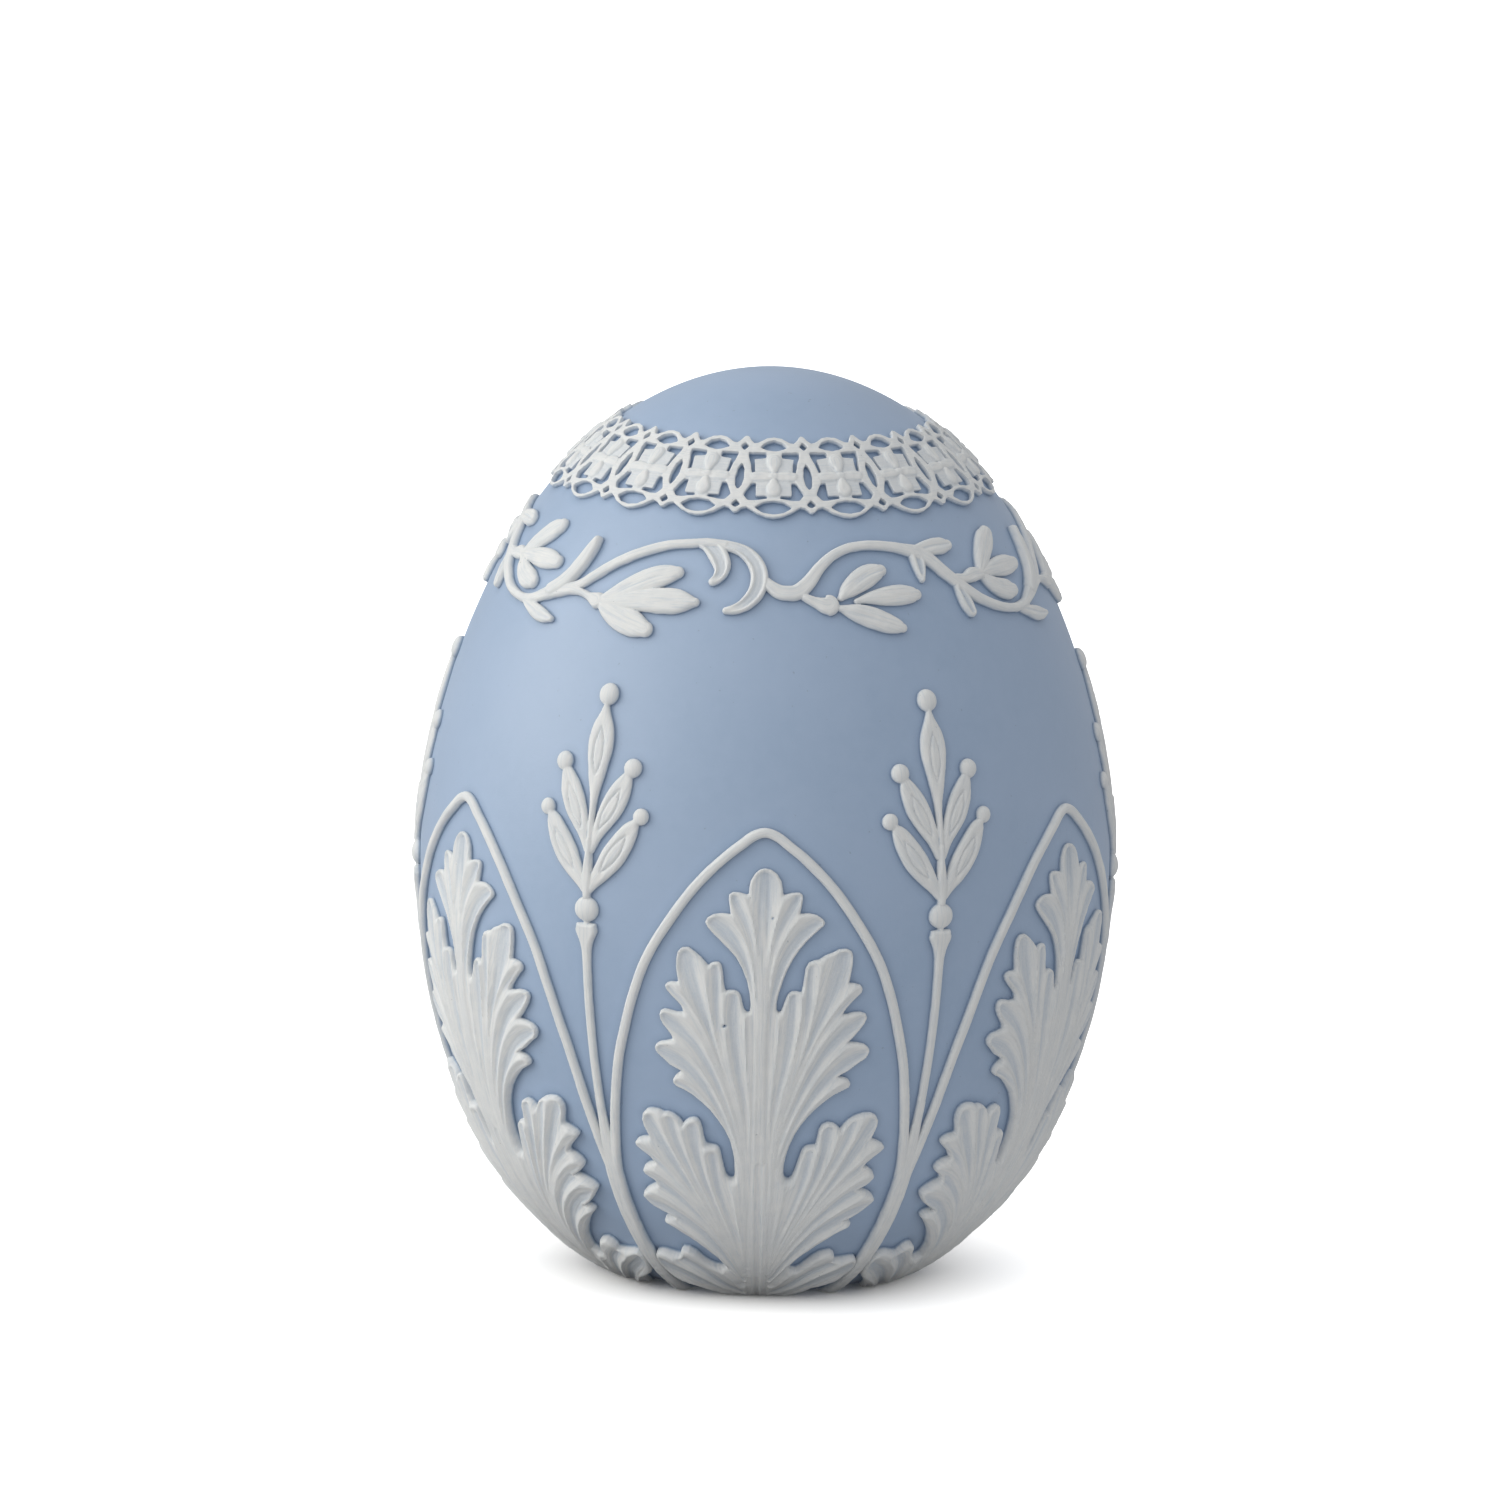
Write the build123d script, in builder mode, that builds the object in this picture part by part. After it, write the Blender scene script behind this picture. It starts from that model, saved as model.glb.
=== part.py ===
from build123d import *
import math
import os

# Relief-decorated table egg: a hollow pale-blue egg that stands on its own flat
# foot, with white sprigged ornament laid on the shell in separate pieces.
# Millimetres, +Z up, origin at the centre of the foot on the resting plane.
# Azimuth 0 faces -Y and is the axis of acanthus leaf 1.

# ---------------------------------------------------------------- dimensions
EGG_HEIGHT = 190.0          # foot to crown
EGG_HALF_WIDTH = 71.83      # scale of the profile's radius
PROFILE_LENGTH = 195.41     # length of the full egg curve before the foot cuts it
PROFILE_SHAPE = (-0.0634, -0.0435, -0.0272, 0.2512, -0.0957, -0.0657)
BASE_TUCK = 3.1             # how far the lower shell draws in behind the leaves
BASE_TUCK_HEIGHT = 26.0     # height at which half of that tuck is left

WALL = 4.5                  # cast shell thickness
FOOT_INNER_R = 20.0         # inner edge of the flat foot ring
FOOT_RECESS = 0.6           # underside hollow inside the foot ring
STOPPER_FLANGE_R = 11.0     # rebate for the stopper's flange
STOPPER_FLANGE_T = 1.5
POUR_HOLE_R = 8.5           # casting hole that the stopper closes
STOPPER_CLEAR = 0.03        # radial clearance of the stopper

SPRIG_GAP = 0.06            # slip line between shell and sprig
FLOOR_CLEAR = 0.35          # lowest point of any sprig above the resting plane
ARCH_H, ARCH_W = 1.5, 2.05  # arch moulding: height off the shell and width
SPRAY_H = 1.3
VINE_H = 1.4
LACE_H = 1.8
LEAF_H = ((0.0, 1.7), (5.0, 2.2), (25.0, 2.6), (45.0, 2.1), (70.0, 1.7), (98.0, 1.3))

LEAVES = 6                  # leaves, arches and sprays repeat every 60 degrees
VINES = 3                   # the garland repeats every 120 degrees
LACE_SECTIONS = 6           # each section carries three flower units
LACE_UNIT = 20.0            # degrees per flower unit
LACE_OFFSET = 0.4           # degrees, the lace is turned slightly from the leaves

# Outline of one acanthus leaf: (azimuth in degrees, height of the shell point)
LEAF_OUTLINE = [
    (-18.8,3.2), (-27.1,7.1), (-27.5,9.8), (-26.9,11.9), (-20.5,11.5), (-18.8,13.5), (-17.2,13.4), (-12.8,9.9),
    (-8.3,9.5), (-13.2,14.7), (-20.9,20.6), (-18.2,21.7), (-22.5,24.0), (-24.3,26.1), (-23.0,27.7), (-20.4,28.9),
    (-23.1,31.9), (-22.6,32.9), (-20.2,33.8), (-23.7,38.0), (-22.2,39.2), (-20.7,39.4), (-21.7,43.2), (-20.6,45.5),
    (-15.6,44.8), (-14.0,42.8), (-12.8,44.1), (-11.2,44.2), (-10.0,38.7), (-7.5,37.9), (-6.3,31.8), (-4.8,31.3),
    (-5.0,37.5), (-6.3,42.1), (-10.4,48.1), (-15.2,51.8), (-13.6,54.5), (-15.7,55.8), (-18.2,59.1), (-17.2,60.5),
    (-15.0,61.2), (-17.0,65.4), (-16.9,67.3), (-13.0,67.2), (-16.1,72.6), (-13.9,73.5), (-14.2,78.4), (-13.2,80.7),
    (-11.1,79.9), (-8.9,77.2), (-7.2,78.1), (-6.1,72.0), (-3.9,71.9), (-2.7,67.8), (-2.0,67.9), (-2.0,71.6),
    (-3.3,76.9), (-9.5,86.2), (-8.1,87.9), (-5.3,88.0), (-5.7,92.1), (-5.1,92.6), (-2.5,92.1), (-1.6,96.4),
    (0.1,97.6), (2.1,96.4), (3.1,92.2), (6.2,92.3), (5.9,88.4), (8.6,88.1), (10.0,86.5), (5.0,79.2),
    (3.3,74.4), (2.4,68.2), (3.1,67.8), (4.9,72.3), (6.4,72.1), (7.5,78.3), (13.6,81.0), (14.7,79.5),
    (14.2,73.8), (16.2,73.3), (16.6,72.6), (13.4,67.3), (16.5,67.7), (17.6,66.4), (14.7,61.4), (17.6,60.7),
    (18.6,59.0), (13.2,53.9), (15.2,53.2), (15.4,51.5), (11.4,48.6), (7.4,43.4), (5.0,36.5), (5.2,31.3),
    (6.5,31.6), (8.1,37.8), (10.5,38.7), (10.9,42.1), (12.4,43.8), (14.8,42.2), (17.4,45.0), (20.3,45.5),
    (21.8,43.9), (20.9,39.9), (24.0,37.9), (20.3,33.7), (22.8,32.4), (23.3,31.3), (20.1,28.6), (23.0,27.6),
    (24.6,26.1), (18.9,21.5), (20.9,20.7), (20.6,20.1), (11.2,13.0), (8.3,9.8), (10.9,8.7), (15.8,12.8),
    (18.7,13.3), (20.4,11.9), (20.0,11.1), (26.8,11.2), (27.5,9.4), (26.6,6.6), (18.9,4.0),
]

# Centre line of the right half of one pointed arch
ARCH_LINE = [
    (-0.0,104.8), (2.0,104.0), (4.0,102.1), (6.0,100.1), (8.0,97.8), (10.0,95.2), (12.0,92.3), (14.0,88.8),
    (16.0,85.0), (18.0,81.0), (20.0,76.0), (22.0,69.2), (23.7,62.2), (25.0,56.6), (26.1,50.8), (27.1,44.3),
    (28.0,38.8), (28.8,33.8), (29.4,29.3),
]

# Garland strokes: (azimuth, height, width in mm), azimuth 0 to -60 and 0 to +70
VINE_SCROLL = {
    "stem": [
        (-58.0,145.47,2.0), (-56.08,145.86,2.1), (-53.61,146.75,2.6), (-50.63,147.93,3.2), (-47.66,148.62,2.8), (-44.69,148.82,1.9),
        (-41.72,148.52,1.6), (-40.24,148.12,1.8), (-37.96,147.62,3.6),
    ],
    "blade": [
        (-51.13,148.13,3.2), (-48.64,149.91,3.3), (-46.64,152.09,3.3), (-45.13,154.76,3.3), (-44.21,157.04,2.8), (-43.69,158.62,1.9),
    ],
    "leaf": [
        (-57.6,144.87,1.4), (-55.6,144.07,2.6), (-53.14,143.37,3.2), (-50.68,142.87,2.8), (-48.5,142.67,1.4),
    ],
    "branch": [
        (-46.18,149.02,2.2), (-43.19,150.4,2.1), (-40.21,152.48,2.2), (-36.22,155.05,2.2), (-31.75,157.13,2.2), (-27.77,158.51,2.1),
        (-23.8,159.5,2.0), (-19.83,159.99,1.9), (-14.88,160.39,1.9), (-10.91,160.19,2.0),
    ],
    "scroll": [
        (-10.91,160.09,2.2), (-7.94,159.59,2.4), (-5.56,158.7,2.9), (-3.57,157.12,3.3), (-2.48,155.04,3.6), (-2.48,152.86,3.6),
        (-3.48,150.78,3.3), (-5.37,149.0,2.7), (-7.36,148.11,2.1), (-8.95,147.81,1.5),
    ],
    "curl": [
        (-14.48,159.4,2.6), (-12.31,158.11,3.3), (-10.92,156.43,3.2), (-10.63,155.04,2.8), (-11.33,153.75,2.2), (-12.42,152.96,1.5),
    ],
    "P1": [
        (-36.97,147.82,1.4), (-33.79,149.6,2.8), (-29.8,151.88,3.8), (-25.82,153.46,4.2), (-22.35,154.05,3.6), (-20.26,154.25,2.0),
    ],
    "P2": [
        (-36.97,147.62,1.4), (-32.8,147.92,2.8), (-27.84,148.41,4.6), (-22.87,148.7,6.0), (-18.89,148.9,5.2), (-15.51,149.0,2.0),
    ],
    "P3": [
        (-36.97,147.32,1.6), (-34.3,145.83,3.2), (-30.83,144.35,4.2), (-27.36,143.15,4.4), (-24.48,142.66,2.6),
    ],
}
VINE_FLOWER = {
    "stem": [
        (1.99,151.67,3.0), (3.98,151.43,3.2), (5.96,151.77,3.3), (8.25,153.46,3.0), (10.92,156.23,2.4), (13.89,158.31,2.1),
        (17.36,159.6,2.0), (20.82,160.09,2.0), (24.79,160.09,2.0), (28.75,159.7,2.1), (31.73,159.11,2.4), (35.2,158.32,3.2),
    ],
    "main": [
        (35.2,158.32,3.2), (38.19,156.64,3.0), (40.68,154.46,2.7), (43.18,152.38,2.6), (45.67,150.41,2.6), (48.65,148.53,2.3),
        (51.63,147.14,2.1), (54.6,146.15,2.0), (59.0,145.37,1.9),
    ],
    "leaf1": [
        (35.2,158.42,2.6), (38.16,158.82,3.2), (41.12,159.02,3.3), (43.59,159.02,2.8), (45.76,159.02,1.3),
    ],
    "drop1": [
        (34.91,157.72,3.4), (34.83,156.04,3.2), (34.74,154.46,2.4), (34.65,153.07,1.2),
    ],
    "drop2": [
        (43.28,151.39,1.4), (43.99,149.51,2.6), (44.6,147.73,3.1), (45.11,146.14,2.4),
    ],
    "cal1": [
        (7.26,150.68,1.6), (9.45,149.79,2.2), (11.24,149.2,3.4), (12.83,149.1,4.4),
    ],
    "Q1": [
        (14.81,150.29,1.4), (16.89,151.97,3.4), (19.37,153.36,4.2), (22.35,154.65,3.6), (25.42,155.34,1.6),
    ],
    "Q2": [
        (18.69,149.79,0.8), (21.87,150.29,2.2), (25.34,150.49,3.8), (28.82,150.59,3.8), (32.49,150.44,1.5),
    ],
    "Q3": [
        (15.21,148.4,1.4), (17.7,147.71,3.4), (20.89,146.72,4.2), (24.37,145.43,3.4), (27.65,144.34,1.1),
    ],
    "cal2": [
        (43.96,152.78,1.8), (46.64,152.49,2.2), (49.1,152.89,3.2), (51.17,152.89,2.6),
    ],
    "S1": [
        (51.95,153.39,1.8), (53.99,155.08,3.4), (56.89,157.36,4.4), (59.79,159.05,4.2), (62.0,160.05,2.4),
    ],
    "S2": [
        (51.96,152.89,1.6), (55.5,153.3,2.6), (59.42,153.4,3.8), (63.33,153.37,3.8), (67.4,153.23,1.8),
    ],
    "S3": [
        (51.97,152.4,1.6), (54.15,150.81,3.2), (57.02,149.53,4.0), (59.49,148.94,3.8), (61.45,148.65,2.2),
    ],
}


# ---------------------------------------------------------------- egg profile
def radius_at(z):
    """Shell radius at height z."""
    half = PROFILE_LENGTH / 2
    t = max(-1.0, min(1.0, (z - (EGG_HEIGHT - half)) / half))
    g = 1 + sum(k * t ** (i + 1) for i, k in enumerate(PROFILE_SHAPE))
    r = EGG_HALF_WIDTH * math.sqrt(max(0.0, 1 - t * t)) * g
    return max(0.0, r - BASE_TUCK / (1 + (max(z, 0) / BASE_TUCK_HEIGHT) ** 3)) if z < EGG_HEIGHT - 0.001 else 0.0


def normal_at(z):
    """Outward unit normal (radial, vertical) of the shell at height z."""
    d = 0.02
    z = min(max(z, d), EGG_HEIGHT - 2 * d)
    slope = (radius_at(z + d) - radius_at(z - d)) / (2 * d)
    n = math.hypot(1, slope)
    return 1 / n, -slope / n


def offset_point(z, h):
    nr, nz = normal_at(z)
    return radius_at(z) + h * nr, z + h * nz


def interp(z, table):
    for (z0, v0), (z1, v1) in zip(table, table[1:]):
        if z <= z1:
            return v0 + (v1 - v0) * max(0.0, (z - z0) / (z1 - z0))
    return table[-1][1]


def crown_heights(z0, z1, n):
    """Heights from z0 to z1, closer together towards a crown or a foot."""
    return [z0 + (z1 - z0) * (1 - math.cos(math.pi * i / n)) / 2 for i in range(n + 1)]


def flat(theta, z, az=0.0, h=1.0):
    """Surface point seen square-on from azimuth az: (across, up)."""
    r, zz = offset_point(z, h)
    return r * math.sin(math.radians(theta - az)), zz


def facing(az):
    """Plane through the egg's axis whose normal looks out at azimuth az."""
    a = math.radians(az)
    return Plane(origin=(0, 0, 0), x_dir=(math.cos(a), math.sin(a), 0), z_dir=(math.sin(a), -math.cos(a), 0))


def ribbon(stroke, az=0.0, h=0.7):
    """Closed outline of a stroke given as (azimuth, height, width)."""
    pts = [flat(t, z, az, h) for t, z, w in stroke]
    left, right = [], []
    for i, (x, y) in enumerate(pts):
        x0, y0 = pts[max(i - 1, 0)]
        x1, y1 = pts[min(i + 1, len(pts) - 1)]
        n = math.hypot(x1 - x0, y1 - y0)
        nx, ny = -(y1 - y0) / n, (x1 - x0) / n
        half = stroke[i][2] / 2
        left.append((x + nx * half, y + ny * half))
        right.append((x - nx * half, y - ny * half))
    (xa, ya), (xb, yb) = pts[0], pts[-1]
    wa, wb = stroke[0][2] * 0.35, stroke[-1][2] * 0.4
    da = math.hypot(pts[1][0] - xa, pts[1][1] - ya)
    db = math.hypot(xb - pts[-2][0], yb - pts[-2][1])
    nose = (xb + (xb - pts[-2][0]) / db * wb, yb + (yb - pts[-2][1]) / db * wb)
    tail = (xa - (pts[1][0] - xa) / da * wa, ya - (pts[1][1] - ya) / da * wa)
    return left + [nose] + right[::-1] + [tail]


def shell_section(z0, z1, height, n=10):
    """Points of a thin band lying on the shell between z0 and z1."""
    zs = [z0 + (z1 - z0) * i / n for i in range(n + 1)]
    inner = [offset_point(z, SPRIG_GAP) for z in zs]
    outer = [offset_point(z, height(z) if callable(height) else height) for z in zs]
    return inner, outer


os.makedirs("parts", exist_ok=True)

# ---------------------------------------------------------------- egg body
zs_out = crown_heights(0, EGG_HEIGHT, 36)
outer_pts = [(radius_at(z), z) for z in zs_out]
inner_pts = []
for z in zs_out:
    r, zz = offset_point(z, -WALL)
    if zz > WALL + 0.4 and r > 1.5:
        inner_pts.append((r, zz))
floor_r = inner_pts[0][0] - 1.2

with BuildPart() as egg_body:
    with BuildSketch(Plane.XZ) as body_profile:
        with BuildLine() as body_line:
            Spline(*outer_pts, tangents=[(0.92, 0.38), (-1.0, 0.0)], tangent_scalars=[1, 1])
            Line((0, EGG_HEIGHT), (0, EGG_HEIGHT - WALL))
            Spline((0, EGG_HEIGHT - WALL), *inner_pts[::-1], tangents=[(1.0, 0.0), (-0.88, -0.47)], tangent_scalars=[1, 1])
            Line(inner_pts[0], (floor_r, WALL))
            Polyline(
                (floor_r, WALL),
                (POUR_HOLE_R, WALL),
                (POUR_HOLE_R, FOOT_RECESS + STOPPER_FLANGE_T),
                (STOPPER_FLANGE_R, FOOT_RECESS + STOPPER_FLANGE_T),
                (STOPPER_FLANGE_R, FOOT_RECESS),
                (FOOT_INNER_R, FOOT_RECESS),
                (FOOT_INNER_R, 0),
                outer_pts[0],
            )
        make_face()
    revolve(axis=Axis.Z)
egg_body.part.label = "egg_body"
export_step(egg_body.part, "parts/egg_body.step")

# ---------------------------------------------------------------- stopper
with BuildPart() as base_stopper:
    with BuildSketch(Plane.XY.offset(FOOT_RECESS + 0.05)):
        Circle(STOPPER_FLANGE_R - STOPPER_CLEAR)
    extrude(amount=STOPPER_FLANGE_T - 0.08)
    with BuildSketch(Plane.XY.offset(FOOT_RECESS + STOPPER_FLANGE_T - 0.2)):
        Circle(POUR_HOLE_R - STOPPER_CLEAR)
    extrude(amount=4.2)
    chamfer(base_stopper.faces().sort_by(Axis.Z)[-1].edges(), 0.8)
base_stopper.part.label = "base_stopper"
export_step(base_stopper.part, "parts/base_stopper.step")


# ---------------------------------------------------------------- acanthus leaves
leaf_in, leaf_out = shell_section(0.0, 104.0, lambda z: interp(z, LEAF_H), 16)
with BuildPart() as acanthus_leaf:
    with BuildSketch(facing(0)):
        Polygon(*([(15.0, -6.0)] + [(-15.0, -6.0)] + [flat(t, z, 0, 0.5) for t, z in LEAF_OUTLINE]), align=None)
    extrude(amount=85)
    with BuildSketch(Plane.XZ):
        with BuildLine():
            Spline(*leaf_in)
            Line(leaf_in[-1], leaf_out[-1])
            Spline(*leaf_out)
            Line(leaf_out[0], leaf_in[0])
        make_face()
    revolve(axis=Axis.Z, mode=Mode.INTERSECT)
    split(bisect_by=Plane.XY.offset(FLOOR_CLEAR), keep=Keep.TOP)
for k in range(LEAVES):
    with BuildPart() as leaf_copy:
        add(acanthus_leaf.part, rotation=(0, 0, 60 * k))
    leaf_copy.part.label = f"acanthus_leaf_{k + 1}"
    export_step(leaf_copy.part, f"parts/acanthus_leaf_{k + 1}.step")

# ---------------------------------------------------------------- pointed arches
# The feet of an arch stop where they run into the thick leg below the sprays.
arch_half = [(t, z, ARCH_W) for t, z in ARCH_LINE]
arch_in, arch_out = shell_section(25.0, 110.0, ARCH_H, 18)
with BuildPart() as arch_frame:
    with BuildSketch(facing(0)) as arch_face:
        right_side = [flat(t, z) for t, z, w in arch_half]
        outline = []
        inline = []
        for i, (x, y) in enumerate(right_side):
            if i == 0:
                nx, ny = 0.0, 1.0
            else:
                x0, y0 = right_side[i - 1]
                x1, y1 = right_side[min(i + 1, len(right_side) - 1)]
                n = math.hypot(x1 - x0, y1 - y0)
                nx, ny = -(y1 - y0) / n, (x1 - x0) / n
            outline.append((x + nx * ARCH_W / 2, y + ny * ARCH_W / 2))
            inline.append((x - nx * ARCH_W / 2, y - ny * ARCH_W / 2))
        right_loop = outline + inline[::-1]
        loop = outline + inline[::-1] + [(-x, y) for x, y in inline[1:]] + [(-x, y) for x, y in outline[:0:-1]]
        Polygon(*loop, align=None)
        # clear the stems and the leg that stand between neighbouring arches
        for side in (-1, 1):
            stem_pts = [flat(side * 28.3, 60), flat(side * 28.15, 40), flat(side * 27.3, 34.2), flat(side * 27.3, 20), flat(side * 36, 20), flat(side * 36, 60)]
            Polygon(*stem_pts, align=None, mode=Mode.SUBTRACT)
    extrude(amount=85)
    with BuildSketch(Plane.XZ):
        with BuildLine():
            Spline(*arch_in)
            Line(arch_in[-1], arch_out[-1])
            Spline(*arch_out)
            Line(arch_out[0], arch_in[0])
        make_face()
    revolve(axis=Axis.Z, mode=Mode.INTERSECT)
for k in range(LEAVES):
    with BuildPart() as arch_copy:
        add(arch_frame.part, rotation=(0, 0, 60 * k))
    arch_copy.part.label = f"arch_frame_{k + 1}"
    export_step(arch_copy.part, f"parts/arch_frame_{k + 1}.step")

# ---------------------------------------------------------------- bud sprays
# Each spray stands between two arches: five buds with ball tips, a knot, a
# flared collar, a thin stem, and the thick leg that the arches run into.
def up(z):
    return flat(0, z, 0, 0.6)[1]


def across(theta, z):
    return flat(theta, z, 0, 0.6)


spray_in, spray_out = shell_section(0.0, 136.0, SPRAY_H, 18)
BUD_TOP = [(0, 128.0, 1.1), (0, 126.5, 2.2), (0, 123.7, 4.8), (0, 120.7, 5.7), (0, 117.8, 5.2), (0, 113.8, 3.6), (0, 109.8, 1.9), (0, 105.9, 1.3), (0, 99.9, 1.3)]
BUD_UPPER = [(6.1, 115.0, 1.6), (5.5, 113.2, 3.0), (4.6, 110.7, 4.1), (3.5, 107.8, 4.4), (2.3, 104.9, 3.6), (1.2, 101.9, 2.2), (0.5, 98.9, 1.2)]
BUD_LOWER = [(8.2, 105.5, 1.5), (7.3, 103.9, 3.2), (5.9, 100.9, 4.3), (4.3, 97.9, 4.6), (2.8, 95.2, 3.8), (1.4, 92.8, 2.6), (0.6, 90.9, 1.5)]
with BuildPart() as bud_spray:
    with BuildSketch(facing(0)):
        with Locations((0, up(130.1))):
            Ellipse(2.15, 2.3)
        with Locations((0, up(86.8))):
            Ellipse(2.65, 2.6)
        for side in (-1, 1):
            with Locations(across(side * 6.7, 116.1)):
                Ellipse(1.9, 1.95)
            with Locations(across(side * 8.95, 106.6)):
                Ellipse(1.65, 1.7)
            Polygon(*ribbon([(side * t, z, w) for t, z, w in BUD_UPPER], 0, 0.6), align=None)
            Polygon(*ribbon([(side * t, z, w) for t, z, w in BUD_LOWER], 0, 0.6), align=None)
        Polygon(*ribbon(BUD_TOP, 0, 0.6), align=None)
        Polygon((-0.65, up(101)), (-0.75, up(97.9)), (-1.0, up(94.4)), (-0.9, up(90.0)), (-0.6, up(88.0)), (0.6, up(88.0)), (0.9, up(90.0)), (1.0, up(94.4)), (0.75, up(97.9)), (0.65, up(101)), align=None)
        Polygon((-0.6, up(86)), (-0.6, up(84.0)), (-2.1, up(83.6)), (-2.5, up(82.8)), (-2.3, up(81.7)), (-1.5, up(80.0)), (-1.05, up(78.0)), (-0.92, up(70.0)), (-0.9, up(40.0)), (-1.7, up(33.5)),
                (-1.75, up(28.0)), (-1.3, up(13.0)), (-1.25, -6.0), (1.25, -6.0), (1.3, up(13.0)), (1.75, up(28.0)), (1.7, up(33.5)), (0.9, up(40.0)), (0.92, up(70.0)), (1.05, up(78.0)), (1.5, up(80.0)), (2.3, up(81.7)),
                (2.5, up(82.8)), (2.1, up(83.6)), (0.6, up(84.0)), (0.6, up(86)), align=None)
    extrude(amount=85)
    with BuildSketch(Plane.XZ):
        with BuildLine():
            Spline(*spray_in)
            Line(spray_in[-1], spray_out[-1])
            Spline(*spray_out)
            Line(spray_out[0], spray_in[0])
        make_face()
    revolve(axis=Axis.Z, mode=Mode.INTERSECT)
    split(bisect_by=Plane.XY.offset(FLOOR_CLEAR), keep=Keep.TOP)
for k in range(LEAVES):
    with BuildPart() as spray_copy:
        add(bud_spray.part, rotation=(0, 0, 30 + 60 * k))
    spray_copy.part.label = f"bud_spray_{k + 1}"
    export_step(spray_copy.part, f"parts/bud_spray_{k + 1}.step")

# ---------------------------------------------------------------- vine garland
vine_in, vine_out = shell_section(137.0, 166.0, VINE_H, 14)
for name, strokes, centre in (("vine_scroll", VINE_SCROLL, -30.0), ("vine_flower", VINE_FLOWER, 33.0)):
    with BuildPart() as vine:
        with BuildSketch(facing(0)):
            for stroke in strokes.values():
                Polygon(*ribbon(stroke, centre, 0.7), align=None)
        extrude(amount=75)
        with BuildSketch(Plane.XZ):
            with BuildLine():
                Spline(*vine_in)
                Line(vine_in[-1], vine_out[-1])
                Spline(*vine_out)
                Line(vine_out[0], vine_in[0])
            make_face()
        revolve(axis=Axis.Z, mode=Mode.INTERSECT)
    for k in range(VINES):
        with BuildPart() as vine_copy:
            add(vine.part, rotation=(0, 0, centre + 120 * k))
        vine_copy.part.label = f"{name}_{k + 1}"
        export_step(vine_copy.part, f"parts/{name}_{k + 1}.step")

# ---------------------------------------------------------------- lace band
# Heights on the shell of one 20 degree unit, flower at its centre.
LACE_TOP = [(-10, 179.6), (-8.6, 178.9), (-7, 178.4), (-4.5, 178.8), (-2.2, 179.2), (0, 179.35), (2.2, 179.2), (4.5, 178.8), (7, 178.4), (8.6, 178.9)]
LACE_BOTTOM = [(10, 164.6), (9, 165.1), (7.6, 165.9), (6.4, 165.9), (4.6, 165.0), (2.4, 164.4), (0, 164.2), (-2.4, 164.4), (-4.6, 165.0), (-6.4, 165.9), (-7.6, 165.9), (-9, 165.1), (-10, 164.6)]
lace_in, lace_out = shell_section(160.0, 183.5, LACE_H, 18)
half_span = 1.5 * LACE_UNIT + 1.0
with BuildPart() as lace_band:
    with BuildSketch(facing(0)):
        top = [(-31.0, 179.3)] + [(t + u * LACE_UNIT, z) for u in (-1, 0, 1) for t, z in LACE_TOP] + [(30, 179.6), (31.0, 179.3)]
        bottom = [(31.0, 165.0)] + [(t + u * LACE_UNIT, z) for u in (1, 0, -1) for t, z in LACE_BOTTOM] + [(-31.0, 165.0)]
        outline = top + bottom
        outline = [(max(-half_span, min(half_span, t)), z) for t, z in outline]
        clean = [outline[0]] + [b for a, b in zip(outline, outline[1:]) if abs(a[0] - b[0]) + abs(a[1] - b[1]) > 0.02]
        Polygon(*[flat(t, z, 0, 0.9) for t, z in clean], align=None)
        for u in (-1, 0, 1):
            c = u * LACE_UNIT
            # eyelets above and below the flower
            Polygon(*[flat(c + t, z, 0, 0.9) for t, z in ((-4.3, 177.3), (-2.2, 178.1), (0, 178.35), (2.2, 178.1), (4.3, 177.3), (2.2, 176.9), (0, 176.75), (-2.2, 176.9))], align=None, mode=Mode.SUBTRACT)
            Polygon(*[flat(c + t, z, 0, 0.9) for t, z in ((-4.1, 166.5), (-2.1, 167.4), (0, 167.7), (2.1, 167.4), (4.1, 166.5), (2.1, 165.7), (0, 165.5), (-2.1, 165.7))], align=None, mode=Mode.SUBTRACT)
            # corner slots around the flower plate
            for sx in (-1, 1):
                Polygon(*[flat(c + sx * t, z, 0, 0.9) for t, z in ((2.0, 176.2), (7.6, 176.4), (8.1, 175.4), (6.6, 172.8), (5.9, 172.9), (6.7, 175.2), (2.2, 175.3))], align=None, mode=Mode.SUBTRACT)
                Polygon(*[flat(c + sx * t, z, 0, 0.9) for t, z in ((2.0, 168.1), (6.6, 167.9), (8.1, 168.9), (6.6, 171.6), (5.4, 171.6), (5.6, 169.2), (2.2, 168.9))], align=None, mode=Mode.SUBTRACT)
        for c in (-10, 10):
            # tall almond between neighbouring rings
            Polygon(*[flat(c + t, z, 0, 0.9) for t, z in ((0, 174.4), (1.1, 173.2), (1.25, 172.1), (1.0, 171.0), (0, 169.8), (-1.0, 171.0), (-1.25, 172.1), (-1.1, 173.2))], align=None, mode=Mode.SUBTRACT)
    extrude(amount=60)
    with BuildSketch(Plane.XZ):
        with BuildLine():
            Spline(*lace_in)
            Line(lace_in[-1], lace_out[-1])
            Spline(*lace_out)
            Line(lace_out[0], lace_in[0])
        make_face()
    revolve(axis=Axis.Z, mode=Mode.INTERSECT)
    # square ends on radial planes, so the sections butt against each other
    edge = math.radians(1.5 * LACE_UNIT - 0.06)
    split(bisect_by=Plane(origin=(0, 0, 0), x_dir=(0, 0, 1), z_dir=(math.cos(edge), math.sin(edge), 0)), keep=Keep.BOTTOM)
    split(bisect_by=Plane(origin=(0, 0, 0), x_dir=(0, 0, 1), z_dir=(math.cos(edge), -math.sin(edge), 0)), keep=Keep.TOP)
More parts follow.
